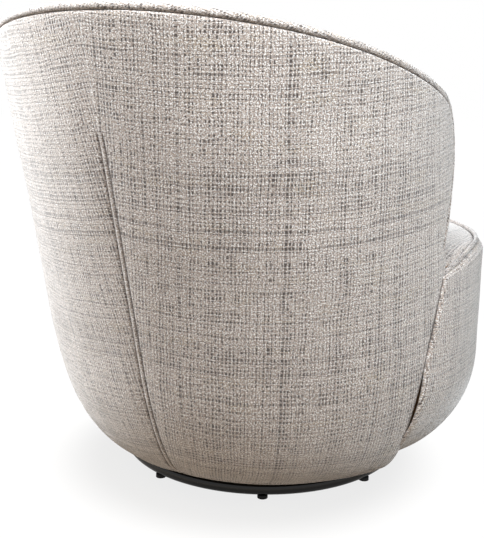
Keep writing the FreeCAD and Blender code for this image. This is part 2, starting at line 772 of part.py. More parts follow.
def corner_centre(drop=0.0):
    """Centre of the arc between the arm's front edge and the rim."""
    start = Vector(0, arm_line(num.shell_level), num.shell_level) + arm_back * num.arm_corner_radius
    offset = start - rim_centre
    reach = rim_radius - num.arm_corner_radius
    half = offset.dot(arm_way)
    travel = -half + math.sqrt(half * half - offset.dot(offset) + reach * reach)
    return start + arm_way * travel


corner = corner_centre()
corner_on_arm = corner - arm_back * num.arm_corner_radius
corner_on_rim = rim_centre + (corner - rim_centre).normalize() * rim_radius
far_back = num.cutting_reach


def side_blank(drop):
    """Everything behind the arms' front edge and under the rim, drawn in by the drop."""
    reach = num.arm_corner_radius - drop
    shift = arm_back * drop
    on_arm = corner - arm_back * reach
    towards_rim = (corner - rim_centre).normalize()
    on_rim = corner + towards_rim * reach
    between = corner + (towards_rim - arm_back).normalize() * reach
    floor_spot = Vector(0, arm_line(num.tuck_low) + shift.y, num.tuck_low)
    tuck_spot = Vector(0, arm_line(num.tuck_middle) + shift.y, num.tuck_middle)
    knee = Vector(0, arm_line(num.shell_level), num.shell_level) + shift
    back_top = Vector(0, far_back, rim_height(far_back, drop))
    rim_spot = Vector(0, (on_rim.y + far_back) / 2, rim_height((on_rim.y + far_back) / 2, drop))
    edges = [Part.Arc(floor_spot, tuck_spot, knee), Part.LineSegment(knee, on_arm),
             Part.Arc(on_arm, between, on_rim), Part.Arc(on_rim, rim_spot, back_top),
             Part.LineSegment(back_top, Vector(0, far_back, num.tuck_low)),
             Part.LineSegment(Vector(0, far_back, num.tuck_low), floor_spot)]
    outline = Part.Wire([edge.toShape() for edge in edges])
    face = Part.Face(outline)
    face.translate(Vector(-far_back, 0, 0))
    return face.extrude(Vector(2 * far_back, 0, 0))


seat_edge_top = num.foam_top + num.layer_gap + num.seat_pad_edge
seat_crown_top = seat_edge_top + num.seat_crown_rise


def front_blank(gap):
    """Everything ahead of the arms' front edge, below the seat's top."""
    high = seat_crown_top
    floor_spot = Vector(-far_back, arm_line(num.tuck_low) - gap, num.tuck_low)
    tuck_spot = Vector(-far_back, arm_line(num.tuck_middle) - gap, num.tuck_middle)
    knee = Vector(-far_back, arm_line(num.shell_level) - gap, num.shell_level)
    above = Vector(-far_back, arm_line(high) - gap, high)
    ahead = [Vector(-far_back, -far_back, high), Vector(-far_back, -far_back, num.tuck_low)]
    edges = [Part.Arc(floor_spot, tuck_spot, knee), Part.LineSegment(knee, above),
             Part.LineSegment(above, ahead[0]), Part.LineSegment(ahead[0], ahead[1]),
             Part.LineSegment(ahead[1], floor_spot)]
    face = Part.Face(Part.Wire([edge.toShape() for edge in edges]))
    return face.extrude(Vector(2 * far_back, 0, 0))


def slab(low, high):
    """Everything between two levels."""
    return Part.makeBox(2 * far_back, 2 * far_back, high - low, Vector(-far_back, -far_back, low))


def half_space(side, gap):
    """One side of the chair, half the gap away from its middle plane."""
    start = gap / 2 if side > 0 else -far_back
    return Part.makeBox(far_back - gap / 2, 2 * far_back, num.shell_top,
                        Vector(start, -far_back, 0))


def disc(radius, low, high, centre=0.0):
    return Part.makeCylinder(radius, high - low, Vector(0, centre, low))


# Outside covers, shell board and the lip strip.

def outside_covers():
    inner = num.cover_thickness
    wall = barrel(0).cut(barrel(inner))
    wall = wall.cut(disc(num.opening_radius, 0, num.bowl_top))
    wall = wall.common(side_blank(num.welt_room + num.welt_clearance).fuse(lower_blank()))
    for name, side in (("left", 1), ("right", -1)):
        solid_piece("outside_cover_" + name, wall.common(half_space(side, num.seam_gap)).Solids[0])


def lower_blank():
    """The side blank without any drop, up to the level of the seat."""
    return side_blank(0).common(slab(0, num.foam_top))


def shell_board():
    outer = num.cover_thickness + num.layer_gap
    wall = barrel(outer).cut(barrel(outer + num.board_thickness))
    wall = wall.common(side_blank(num.roll_thickness + num.layer_gap))
    low = board_top.number + num.layer_gap
    solid_piece("shell_board", wall.common(slab(low, num.shell_top)).Solids[0])


def lip_strip():
    low = num.lip_height + num.cover_thickness + num.layer_gap
    high = num.bottom_board_low
    strip = barrel(num.cover_thickness + num.layer_gap).common(slab(low, high))
    strip = strip.cut(disc(num.opening_radius, low - 1, high + 1))
    strip = strip.common(side_blank(num.layer_gap + num.seam_gap))
    solid_piece("lip_strip", strip.Solids[0])


# Seat frame.

def deck(label, low, high, opening, cuts=()):
    """A flat board that fills the shell's plan behind the arms' front and the drum's ahead."""
    back = barrel(num.rail_inset).common(slab(low, high)).common(side_blank(0))
    front_inset = num.apron_thickness + num.panel_thickness + 2 * num.layer_gap
    front = drum(front_inset, num.foam_top).common(slab(low, high)).common(front_blank(0))
    board = back.fuse(front).removeSplitter().cut(disc(opening, low - 1, high + 1))
    for tool in cuts:
        board = board.cut(tool)
    solid_piece(label, board.Solids[0])


def turned_spots(count, reach):
    for x, y in around(count):
        yield reach * x, reach * y, math.degrees(math.atan2(y, x))


def screw(x, y, low, length):
    """A countersunk screw that points up."""
    sink = Part.makeCone(num.screw_head_radius, num.screw_radius, num.screw_sink, Vector(x, y, low))
    return sink.fuse(Part.makeCylinder(num.screw_radius, length, Vector(x, y, low)))


def bottom_frame():
    low = num.bottom_board_low
    spots = list(turned_spots(POST_COUNT, num.post_circle))
    clear = num.joint_clearance
    tools = []
    for x, y, turn in spots:
        tools.append(Part.makeCone(num.screw_head_radius + clear, num.screw_radius + clear,
                                   num.screw_sink, Vector(x, y, low)))
        tools.append(Part.makeCylinder(num.screw_radius + clear, 100, Vector(x, y, low)))
    deck("bottom_board", low, board_top.number, num.bottom_board_opening, tools)
    screws = [screw(x, y, low, num.screw_length) for x, y, turn in spots]
    solid_piece("board_screws", Part.makeCompound(screws))
    posts = []
    for x, y, turn in spots:
        height = num.seat_rail_low - board_top.number
        post = Part.makeBox(num.post_depth, num.post_width, height,
                            Vector(-num.post_depth / 2, -num.post_width / 2, 0))
        post.Placement = Placement(Vector(x, y, board_top.number), Rotation(Vector(0, 0, 1), turn))
        hole = Part.makeCylinder(num.screw_radius + clear, num.screw_length + clear, Vector(x, y, low))
        posts.append(post.cut(hole))
    solid_piece("lower_posts", Part.makeCompound(posts))


def cross_rails():
    blocks, rails = [], []
    for side in seam_side:
        middle = cell.mounting_bolt_y * side
        rail = box(2 * cell.cross_rail_half_length, cell.cross_rail_width, cell.cross_rail_thickness,
                   -cell.cross_rail_half_length, middle - cell.cross_rail_width / 2, mounting_top)
        holes = [cylinder(cell.mounting_bolt_radius + cell.bolt_clearance, cell.cross_rail_thickness,
                          cell.mounting_bolt_x * x, middle, mounting_top) for x in seam_side]
        rails.append(cut(rail, group(holes)))
        for end in seam_side:
            start = (cell.cross_rail_half_length - cell.rail_block_length if end > 0
                     else -cell.cross_rail_half_length)
            blocks.append(box(cell.rail_block_length, cell.cross_rail_width,
                              mounting_top - board_top, start,
                              middle - cell.cross_rail_width / 2, board_top))
    keep(group(rails), "cross_rails")
    keep(group(blocks), "rail_blocks")


def mounting_bolts():
    spots = [(cell.mounting_bolt_x * x, cell.mounting_bolt_y * y) for x, y in corners]
    bolts("mounting_bolts", spots, mounting_low, cross_rail_top + cell.washer_thickness,
          cell.mounting_bolt_radius)
    nuts = [cut(cylinder(cell.bolt_head_radius, cell.washer_thickness, x, y, cross_rail_top),
                cylinder(cell.mounting_bolt_radius + cell.running_clearance,
                         cell.washer_thickness, x, y, cross_rail_top)) for x, y in spots]
    keep(group(nuts), "tee_nuts")


def rail_wall():
    return barrel(num.rail_inset).cut(barrel(num.rail_inset + num.rail_depth))


def upper_frame():
    """Bent top rail along the rim and round the arm corners, and the arm posts below it."""
    high_drop = num.roll_thickness + 2 * num.layer_gap
    low_drop = high_drop + num.rail_height
    band = side_blank(high_drop).cut(side_blank(low_drop))
    wall = rail_wall().common(band)
    joint = corner_on_arm.z - num.rail_height
    solid_piece("top_rail", wall.common(slab(joint, num.shell_top)).Solids[0])
    posts = wall.common(slab(seat_rail_top.number, joint - num.joint_clearance))
    solid_piece("arm_posts", Part.makeCompound(posts.Solids))
    uprights = [back_post(math.radians(turn)) for turn in BACK_POST_TURNS]
    blank = side_blank(low_drop + num.joint_clearance)
    solid_piece("back_posts", Part.makeCompound([post.common(blank) for post in uprights]))


def back_post(turn):
    """An upright that leans back with the shell."""
    wires = []
    depth = num.rail_depth - 2 * num.post_setback
    for height in (seat_rail_top.number, num.shell_top):
        centre, radius = shell_circle(height, num.rail_inset + num.rail_depth / 2)
        outward = Vector(-math.sin(turn), math.cos(turn), 0)
        along = Vector(outward.y, -outward.x, 0)
        middle = Vector(0, centre, height) + outward * radius
        half_depth = outward * (depth / 2)
        half_width = along * (num.post_width / 2)
        spots = [middle - half_depth - half_width, middle + half_depth - half_width,
                 middle + half_depth + half_width, middle - half_depth + half_width]
        wires.append(Part.makePolygon(spots + spots[:1]))
    return Part.makeLoft(wires, True, True)


# Seat suspension: zigzag springs held by clips on the seat rail, felt over them.

def zigzag_spring(x):
    """One spring: bends to and fro from the front of the opening to its back."""
    level = seat_rail_top.number + num.zigzag_wire_radius + num.layer_gap / 2
    reach = math.sqrt(num.seat_rail_opening ** 2 - x * x) + num.spring_bearing
    pitch = 2 * num.zigzag_bend
    runs = int(2 * reach / pitch)
    y = -runs * pitch / 2
    edges = []
    side = 1
    straight = num.zigzag_half_width - num.zigzag_bend
    for step in range(runs + 1):
        start = Vector(x - side * straight, y, level)
        end = Vector(x + side * straight, y, level)
        edges.append(Part.LineSegment(start, end).toShape())
        if step < runs:
            middle = end + Vector(side * num.zigzag_bend, num.zigzag_bend, 0)
            corner_way = num.zigzag_bend * math.sqrt(0.5)
            low_spot = end + Vector(side * corner_way, num.zigzag_bend - corner_way, 0)
            high_spot = end + Vector(side * corner_way, num.zigzag_bend + corner_way, 0)
            last = end + Vector(0, pitch, 0)
            edges.append(Part.Arc(end, low_spot, middle).toShape())
            edges.append(Part.Arc(middle, high_spot, last).toShape())
        y += pitch
        side = -side
    path = Part.Wire(edges)
    first = edges[0].valueAt(edges[0].FirstParameter)
    section = Part.Wire(Part.Circle(first, Vector(1, 0, 0), num.zigzag_wire_radius).toShape())
    return path.makePipeShell([section], True, False)


def seat_suspension():
    middle = (ZIGZAG_COUNT - 1) / 2
    places = [(step - middle) * num.zigzag_spacing for step in range(ZIGZAG_COUNT)]
    solid_piece("zigzag_springs", Part.makeCompound([zigzag_spring(x) for x in places]))
    clips = []
    for x in places:
        reach = math.sqrt(num.seat_rail_opening ** 2 - x * x) + num.clip_setback
        for end in seam_side:
            low = seat_rail_top.number
            high = spring_wire_top.number
            start = reach if end > 0 else -reach - num.clip_length
            clips.append(Part.makeBox(num.clip_width, num.clip_length, high - low,
                                      Vector(x - num.clip_width / 2, start, low)))
    solid_piece("spring_clips", Part.makeCompound(clips))
    low = spring_wire_top.number + num.layer_gap
    felt = seat_plan(low, insulator_top.number, num.insulator_thickness)
    solid_piece("seat_insulator", felt)


# Seat: foam on the suspension, a crowned top and the welt round its front.

def seat_plan(low, high, side_gap):
    """The seat's plan: narrow between the arms, the full drum ahead of them."""
    front_inset = num.apron_thickness + num.panel_thickness + 2 * num.layer_gap + side_gap
    wings_back = arm_line(high) - num.wing_gap
    wide = disc(num.drum_radius - front_inset, low, high, num.drum_centre)
    wide = wide.common(Part.makeBox(2 * far_back, far_back + wings_back, high - low,
                                    Vector(-far_back, -far_back, low)))
    centre, radius = shell_circle(low, num.pad_low_inset + side_gap)
    narrow = disc(radius, low, high, centre)
    return wide.fuse(narrow).removeSplitter().Solids[0]


def seat_foam():
    low = insulator_top.number + num.layer_gap
    solid_piece("seat_foam", seat_plan(low, num.foam_top, num.seat_side_gap))


def seat_top():
    """The crowned top of the seat, drawn in at its edge."""
    low = num.foam_top + num.layer_gap
    edge_radius = num.drum_radius - num.seat_tuck - num.seat_welt_radius
    drawn = edge_radius - num.seat_edge_draw
    crown_turn = 2 * math.atan(num.seat_crown_rise / drawn)
    crown_radius = drawn / math.sin(crown_turn)
    crown_drop = crown_radius * (1 - math.cos(crown_turn / 2))
    spots = [Vector(0, 0, low), Vector(drawn, 0, low),
             Vector(edge_radius, 0, low + num.seat_pad_edge / 2),
             Vector(drawn, 0, seat_edge_top),
             Vector(crown_radius * math.sin(crown_turn / 2), 0, seat_crown_top - crown_drop),
             Vector(0, 0, seat_crown_top)]
    side = [Part.LineSegment(spots[0], spots[1]), Part.Arc(spots[1], spots[2], spots[3]),
            Part.Arc(spots[3], spots[4], spots[5]), Part.LineSegment(spots[5], spots[0])]
    face = Part.Face(Part.Wire([edge_piece.toShape() for edge_piece in side]))
    dome = face.revolve(Vector(0, 0, 0), Vector(0, 0, 1), 360)
    dome.translate(Vector(0, num.drum_centre, 0))
    high = seat_crown_top
    plan = Part.makeBox(2 * far_back, far_back + arm_line(high) - num.wing_gap, high,
                        Vector(-far_back, -far_back, low))
    centre, radius = shell_circle(low, num.pad_low_inset + num.seat_side_gap)
    plan = plan.fuse(disc(radius, low, high + low, centre))
    solid_piece("seat_top", dome.common(plan).Solids[0])


def seat_welt():
    """Piping along the drum's top edge, from the front of one arm to the other."""
    radius = num.drum_radius - num.seat_tuck + num.seat_welt_radius
    level = num.seat_edge_height
    back_edge = arm_line(level) - num.wing_gap - num.drum_centre
    side = math.asin(back_edge / radius)
    start, end = -math.pi - side, side
    spots = [Vector(radius * math.cos(start + (end - start) * step / 4),
                    num.drum_centre + radius * math.sin(start + (end - start) * step / 4), level)
             for step in range(5)]
    arcs = [Part.Arc(spots[0], spots[1], spots[2]), Part.Arc(spots[2], spots[3], spots[4])]
    path = Part.Wire([arc.toShape() for arc in arcs])
    way = Vector(-math.sin(start), math.cos(start), 0)
    section = Part.Wire(Part.Circle(spots[0], way, num.seat_welt_radius).toShape())
    solid_piece("seat_welt", path.makePipeShell([section], True, False))


def front_apron():
    top = num.seat_edge_height - num.seat_welt_radius - num.layer_gap
    wall = drum(0, top).cut(drum(num.apron_thickness, top + 1))
    wall = wall.cut(disc(num.opening_radius, 0, num.drum_bowl_top))
    solid_piece("front_apron", wall.common(front_blank(num.seam_gap)).Solids[0])
    inset = num.apron_thickness + num.layer_gap
    panel = drum(inset, num.foam_top).cut(drum(inset + num.panel_thickness, num.foam_top + 1))
    panel = panel.common(front_blank(num.seam_gap))
    low = board_top.number + num.layer_gap
    solid_piece("apron_panel", panel.common(slab(low, num.foam_top - num.panel_drop)).Solids[0])


# Inside back, rolled rim, rim welt.

def pad_surface():
    """The sitter's side of the inside back: fullest at the small of the back."""
    levels = ((num.seat_rail_low, num.pad_low_inset), (num.pad_low_height, num.pad_low_inset),
              (num.pad_lumbar_height, num.pad_lumbar_inset),
              (num.pad_upper_height, num.pad_upper_inset),
              (num.pad_top_height, num.pad_top_inset), (num.shell_top, num.pad_top_inset))
    wires = [ring_wire(*shell_circle(height, inset), height) for height, inset in levels]
    return Part.makeLoft(wires, True, False)


def inside_back():
    pad_wall = barrel(num.pad_inset).cut(pad_surface())
    pad_wall = pad_wall.common(side_blank(num.roll_thickness + num.layer_gap))
    low = seat_rail_top.number + num.layer_gap
    solid_piece("inside_back", pad_wall.common(slab(low, num.shell_top)).Solids[0])


def on_shell(y, z, inset=0.0):
    """The right-hand point of the shell's outside at a place of the side view."""
    centre, radius = shell_circle(z, inset)
    return Vector(-math.sqrt(max(radius * radius - (y - centre) ** 2, 0)), y, z)


def rim_spot(turn):
    """The rim's outer edge at an angle from the middle of the back."""
    height = num.rim_back_height
    for again in range(30):
        centre, radius = shell_circle(height)
        height = rim_height(centre + radius * math.cos(turn))
    return Vector(-radius * math.sin(turn), centre + radius * math.cos(turn), height)


def edge_turn():
    """The angle from the middle of the back at which the arm's corner starts."""
    centre, radius = shell_circle(corner_on_rim.z)
    return math.acos((corner_on_rim.y - centre) / radius)


def half_edge(low, rim_steps, corner_steps, arm_steps):
    """Points of the edge of the shell, from the middle of the back to the front of the right arm."""
    spots = [rim_spot(edge_turn() * step / rim_steps) for step in range(rim_steps)]
    towards_rim = (corner_on_rim - corner).normalize()
    sweep = math.acos(towards_rim.dot(-1 * arm_back))
    for step in range(corner_steps):
        turn = sweep * step / corner_steps
        spoke = Rotation(Vector(1, 0, 0), math.degrees(turn)).multVec(towards_rim)
        spot = corner + spoke * num.arm_corner_radius
        spots.append(on_shell(spot.y, spot.z))
    for step in range(arm_steps + 1):
        height = corner_on_arm.z + (low - corner_on_arm.z) * step / arm_steps
        spots.append(on_shell(arm_line(height), height))
    return spots


def whole_edge(low, rim_steps, corner_steps, arm_steps):
    right = half_edge(low, rim_steps, corner_steps, arm_steps)
    left = [Vector(-spot.x, spot.y, spot.z) for spot in right[1:]]
    return left[::-1] + right


def edge_frames(spots):
    """At each point: the way along, the way in to the sitter and the way out of the edge."""
    frames = []
    for step, spot in enumerate(spots):
        before, after = spots[max(step - 1, 0)], spots[min(step + 1, len(spots) - 1)]
        along = (after - before).normalize()
        centre, radius = shell_circle(spot.z)
        inward = (Vector(0, centre, spot.z) - spot).normalize()
        inward = (inward - along * inward.dot(along)).normalize()
        frames.append((along, inward, along.cross(inward).normalize()))
    return frames


def rim_roll():
    """Padded roll over the rim and down the front of the arms."""
    wall = barrel(num.welt_room + num.welt_clearance).cut(pad_surface())
    band = side_blank(0).cut(side_blank(num.roll_thickness))
    low = seat_rail_top.number + num.layer_gap
    solid_piece("rim_roll", wall.common(band).common(slab(low, num.shell_top)).Solids[0])


def rim_welt():
    """Piping in the corner between the outside cover and the roll."""
    spots = whole_edge(num.foam_top + num.welt_radius, 14, 5, 4)
    half = num.welt_room / 2
    centres = [spot + inward * half - out * half
               for spot, (along, inward, out) in zip(spots, edge_frames(spots))]
    ways = [frame[0] for frame in edge_frames(centres)]
    solid_piece("rim_welt", tube_along(centres, ways, num.welt_radius))


def dust_cover():
    high = num.bottom_board_low - num.joint_clearance
    radius = num.opening_radius - num.cambric_clearance
    ring = disc(radius, high - num.cambric_thickness, high)
    ring = ring.cut(disc(num.bottom_board_opening, high - num.cambric_thickness, high))
    solid_piece("dust_cover", ring)


def build_pieces():
    base_ring()
    foot_glides()
    base_cross()
    hub_and_bearing_plates()
    bolts("plate_bolts", bolt_places, hub_low, lower_race_low, cell.plate_bolt_radius,
          head_below=False)
    ball_bearing()
    king_pin()
    swivel_plate()
    pivot_brackets()
    spring_cups("lower_spring_cups", swivel_top)
    bump_stops()
    rocker_springs()
    rocker_unit()
    spring_cups("upper_spring_cups", mounting_low - cell.cup_height)
    mounting_bolts()
    cross_rails()
    bottom_frame()
    lip_strip()
    deck("seat_rail", num.seat_rail_low, seat_rail_top.number, num.seat_rail_opening)
    upper_frame()
    shell_board()
    seat_suspension()
    seat_foam()
    seat_top()
    seat_welt()
    front_apron()
    inside_back()
    rim_roll()
    rim_welt()
    outside_covers()
    dust_cover()


def check(item):
    if "Invalid" in item.State or "Error" in item.State:
        raise RuntimeError("failed: " + item.Label)


build_pieces()
doc.recompute()

# The middle of the chair's length goes to the origin.
front_reach = num.drum_radius - num.drum_centre
back_reach = rim_back.y
axis_y = (front_reach - back_reach) / 2
for piece in nodes:
    piece.Placement = Placement(Vector(0, axis_y, 0), Rotation()) * piece.Placement

doc.recompute()
for item in doc.Objects:
    check(item)

os.makedirs("parts", exist_ok=True)
for piece in nodes:
    shape = piece.Shape
    if shape.isNull() or not shape.isValid() or not shape.Solids:
        raise RuntimeError("no sound solid: " + piece.Label)
    shape.exportStep("parts/%s.step" % piece.Label)
print("pieces:", len(nodes), "swivel axis at y =", round(axis_y, 3))
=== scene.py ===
import json
import math

import bpy
import numpy as np
from mathutils import Matrix, Vector

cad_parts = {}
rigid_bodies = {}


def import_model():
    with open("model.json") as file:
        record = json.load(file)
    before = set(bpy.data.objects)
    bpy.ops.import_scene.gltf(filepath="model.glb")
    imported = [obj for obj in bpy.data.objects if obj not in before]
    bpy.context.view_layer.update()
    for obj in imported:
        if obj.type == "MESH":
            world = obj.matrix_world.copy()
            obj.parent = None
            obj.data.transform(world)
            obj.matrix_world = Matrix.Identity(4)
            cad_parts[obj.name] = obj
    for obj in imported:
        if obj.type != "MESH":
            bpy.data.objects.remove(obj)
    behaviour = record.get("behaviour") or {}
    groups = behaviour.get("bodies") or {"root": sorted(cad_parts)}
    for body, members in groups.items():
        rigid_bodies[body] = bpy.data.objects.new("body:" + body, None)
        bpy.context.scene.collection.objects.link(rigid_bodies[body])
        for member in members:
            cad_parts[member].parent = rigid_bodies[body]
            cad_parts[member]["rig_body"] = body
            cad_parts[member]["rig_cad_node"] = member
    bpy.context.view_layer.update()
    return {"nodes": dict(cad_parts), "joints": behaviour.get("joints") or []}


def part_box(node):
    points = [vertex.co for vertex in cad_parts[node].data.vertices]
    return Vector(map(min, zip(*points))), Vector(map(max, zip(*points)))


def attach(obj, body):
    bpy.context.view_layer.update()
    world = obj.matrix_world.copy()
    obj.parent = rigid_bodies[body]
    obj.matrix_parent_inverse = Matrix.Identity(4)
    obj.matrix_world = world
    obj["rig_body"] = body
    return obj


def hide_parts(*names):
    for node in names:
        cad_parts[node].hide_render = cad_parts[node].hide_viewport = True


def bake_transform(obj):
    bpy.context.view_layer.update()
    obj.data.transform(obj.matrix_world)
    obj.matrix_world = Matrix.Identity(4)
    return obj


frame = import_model()
cad = frame["nodes"]
swivel_joint = next(joint for joint in frame["joints"] if joint["name"] == "swivel")
axis_y = swivel_joint["pos_m"][1]
bpy.ops.object.select_all(action="DESELECT")


# Camera: behind the chair and to its right, a little below the rim, with a long lens. The
# directions are worked out from how far round it stands and how far it looks down.
camera_round = math.radians(28.38)
camera_away = 1.6506
camera_height = 0.6996
camera_down = math.radians(12.17)
camera_aside = -0.0254
camera_roll = math.radians(0.4675)
picture_width = 484
focal_pixels = 881.8

across = Vector((-math.cos(camera_round), -math.sin(camera_round), 0))
away = Vector((math.sin(camera_round), -math.cos(camera_round), 0))
level_ahead = math.sin(camera_aside) * across + math.cos(camera_aside) * away
right = math.cos(camera_aside) * across - math.sin(camera_aside) * away
ahead = math.cos(camera_down) * level_ahead - math.sin(camera_down) * Vector((0, 0, 1))
above = math.sin(camera_down) * level_ahead + math.cos(camera_down) * Vector((0, 0, 1))
rolled_right = math.cos(camera_roll) * right + math.sin(camera_roll) * above
rolled_above = math.cos(camera_roll) * above - math.sin(camera_roll) * right
camera_place = Vector((-camera_away * math.sin(camera_round),
                       camera_away * math.cos(camera_round) + axis_y, camera_height))
bpy.ops.object.camera_add(location=camera_place)
camera = bpy.context.object
camera.name = "photo_camera"
camera.matrix_world = (Matrix.Translation(camera_place)
                       @ Matrix((rolled_right, rolled_above, -ahead)).transposed().to_4x4())
camera.data.sensor_fit = "HORIZONTAL"
camera.data.sensor_width = 36
camera.data.lens = focal_pixels / picture_width * camera.data.sensor_width
camera.data.clip_start = 0.05
camera.data.clip_end = 60
bpy.context.scene.camera = camera


# Studio: a white floor with a soft shadow painted grey near the chair, a white surround, two large
# soft lamps beside the chair and one above it.
class Value:
    """A number on a surface that can be reckoned with."""

    def __init__(self, finish, socket):
        self.finish = finish
        self.socket = socket

    def reckon(self, operation, first, second=0.0):
        return self.finish.node("ShaderNodeMath", {"operation": operation},
                                {0: first, 1: second})

    def __add__(self, other):
        return self.reckon("ADD", self, other)

    def __radd__(self, other):
        return self.reckon("ADD", other, self)

    def __sub__(self, other):
        return self.reckon("SUBTRACT", self, other)

    def __rsub__(self, other):
        return self.reckon("SUBTRACT", other, self)

    def __mul__(self, other):
        return self.reckon("MULTIPLY", self, other)

    def __rmul__(self, other):
        return self.reckon("MULTIPLY", other, self)

    def __truediv__(self, other):
        return self.reckon("DIVIDE", self, other)

    def __rtruediv__(self, other):
        return self.reckon("DIVIDE", other, self)

    def whole(self):
        return self.reckon("FLOOR", self)

    def part(self):
        return self.reckon("FRACT", self)

    def size(self):
        return self.reckon("ABSOLUTE", self)

    def most(self, other):
        return self.reckon("MAXIMUM", self, other)

    def rise(self, low, high):
        """0 below the low value, 1 above the high one, smooth between them."""
        return self.finish.node(
            "ShaderNodeMapRange", {"interpolation_type": "SMOOTHSTEP"},
            {"Value": self, "From Min": low, "From Max": high})


class Finish:
    """One finish and the nodes that make it: a material's, or those of the air around."""

    def __init__(self, name, air=None):
        self.material = air or bpy.data.materials.new(name)
        self.material.use_nodes = True
        self.tree = self.material.node_tree
        self.tree.nodes.clear()

    def node(self, kind, settings=None, inlets=None, outlet=0):
        """Adds a node, sets it up, feeds its sockets and returns one of its outputs."""
        made = self.tree.nodes.new(kind)
        for name, setting in (settings or {}).items():
            setattr(made, name, setting)
        for name, value in (inlets or {}).items():
            socket = self.find(made.inputs, name)
            if isinstance(value, Value):
                self.tree.links.new(value.socket, socket)
            elif hasattr(value, "__len__") and len(value) == 3 and socket.type == "RGBA":
                socket.default_value = (*value, 1.0)
            else:
                socket.default_value = value
        return None if outlet is None else Value(self, self.find(made.outputs, outlet))

    def find(self, sockets, name):
        """A node's socket by its number, or by its identifier or shown name."""
        if isinstance(name, int):
            return sockets[name]
        return next(s for s in sockets if name in (s.identifier, s.name))

    def place(self):
        return self.node("ShaderNodeTexCoord", outlet="Object")

    def noise(self, where, scale, detail=2.0, roughness=0.5, outlet="Fac"):
        return self.node("ShaderNodeTexNoise", {"noise_dimensions": "3D"},
                         {"Vector": where, "Scale": scale, "Detail": detail,
                          "Roughness": roughness}, outlet)

    def stretched(self, where, scale):
        return self.node("ShaderNodeMapping", {"vector_type": "POINT"},
                         {"Vector": where, "Scale": scale})

    def blend(self, share, first, second):
        return self.node("ShaderNodeMix", {"data_type": "RGBA"},
                         {"Factor_Float": share, "A_Color": first, "B_Color": second},
                         "Result_Color")

    def bump(self, height, strength, distance):
        return self.node("ShaderNodeBump", {}, {"Height": height, "Strength": strength,
                                                "Distance": distance})

    def surface(self, **inlets):
        """The shader itself; a socket's name is written with _ for its blanks."""
        named = {name.replace("_", " "): value for name, value in inlets.items()}
        shader = self.node("ShaderNodeBsdfPrincipled", {}, named)
        self.node("ShaderNodeOutputMaterial", {}, {"Surface": shader}, outlet=None)
        return self.material


white, shadow_grey = (1, 1, 1), (0.81, 0.81, 0.81)
floor_shown, floor_mirrored, air_mirrored_share = 0.93, 0.3, 0.6
bpy.ops.mesh.primitive_plane_add(size=24, location=(0, 0, 0))
floor = bpy.context.object
floor.name = "studio_floor"
floor_finish = Finish("studio_floor_white")
floor_place = floor_finish.place()
floor_far = floor_finish.node("ShaderNodeVectorMath", {"operation": "LENGTH"},
                              {"Vector": floor_place}, "Value").rise(0.26, 0.4)
seen = floor_finish.node("ShaderNodeLightPath", {}, {}, "Is Camera Ray")
mirrored = floor_finish.node("ShaderNodeLightPath", {}, {}, "Is Glossy Ray")
shown = seen.most(mirrored * floor_mirrored)
floor_paint = floor_finish.node("ShaderNodeBsdfDiffuse", {}, {"Color": (0.3, 0.25, 0.2)})
# The floor's glow is painted shadow grey near the chair and white further out.
floor_shade = floor_finish.blend(floor_far, shadow_grey, white)
floor_glow = floor_finish.node("ShaderNodeEmission", {}, {"Color": floor_shade, "Strength": 1.08})
floor_mix = floor_finish.node("ShaderNodeMixShader", {},
                              {0: shown * floor_shown, 1: floor_paint, 2: floor_glow})
floor_finish.node("ShaderNodeOutputMaterial", {}, {"Surface": floor_mix}, outlet=None)
floor.data.materials.append(floor_finish.material)

bpy.context.scene.world = bpy.data.worlds.new("studio_air")
air = Finish("studio_air", bpy.context.scene.world)
air_seen = air.node("ShaderNodeLightPath", {}, {}, "Is Camera Ray")
air_mirrored = air.node("ShaderNodeLightPath", {}, {}, "Is Glossy Ray")
air_glow = air.node("ShaderNodeBackground", {}, {"Color": white, "Strength": 1.0})
air_light = air.node("ShaderNodeBackground", {}, {"Color": (1, 0.99, 0.98), "Strength": 0.1})
air_mix = air.node("ShaderNodeMixShader", {}, {0: air_seen.most(air_mirrored * air_mirrored_share),
                                               1: air_light, 2: air_glow})
air.node("ShaderNodeOutputWorld", {}, {"Surface": air_mix}, outlet=None)

for lamp_name, lamp_place, lamp_aim, lamp_size, lamp_power, lamp_blue in (
        ("lamp_left", (1.35, 0.75, 1.5), (0.25, 0.2, 0.68), 0.9, 52, 0.06),
        ("lamp_right", (-1.6, 0.45, 1.7), (-0.3, 0.15, 0.88), 0.9, 43, 0.16),
        ("lamp_above", (-0.25, 1.1, 1.8), (-0.05, 0.4, 0.9), 0.8, 38, 0.12)):
    bpy.ops.object.light_add(type="AREA", location=lamp_place)
    lamp = bpy.context.object
    lamp.name = lamp_name
    lamp.data.size = lamp_size
    lamp.data.energy = lamp_power
    lamp.data.color = (1 - lamp_blue, 1 - lamp_blue * 0.4, 1.0)
    aim = Vector(lamp_aim) - Vector(lamp_place)
    lamp.rotation_euler = aim.to_track_quat("-Z", "Y").to_euler()
bpy.context.scene.view_settings.view_transform = "Standard"
bpy.ops.object.select_all(action="DESELECT")


# Base ring and its cross: steel tube rolled to a ring and flat bars welded across it, in
# gloss black stoved enamel with a trace of dust and orange peel.
def paint(finish_material, *node_names):
    """Gives pieces that come with the model their finish."""
    for node_name in node_names:
        cad[node_name].data.materials.clear()
        cad[node_name].data.materials.append(finish_material)


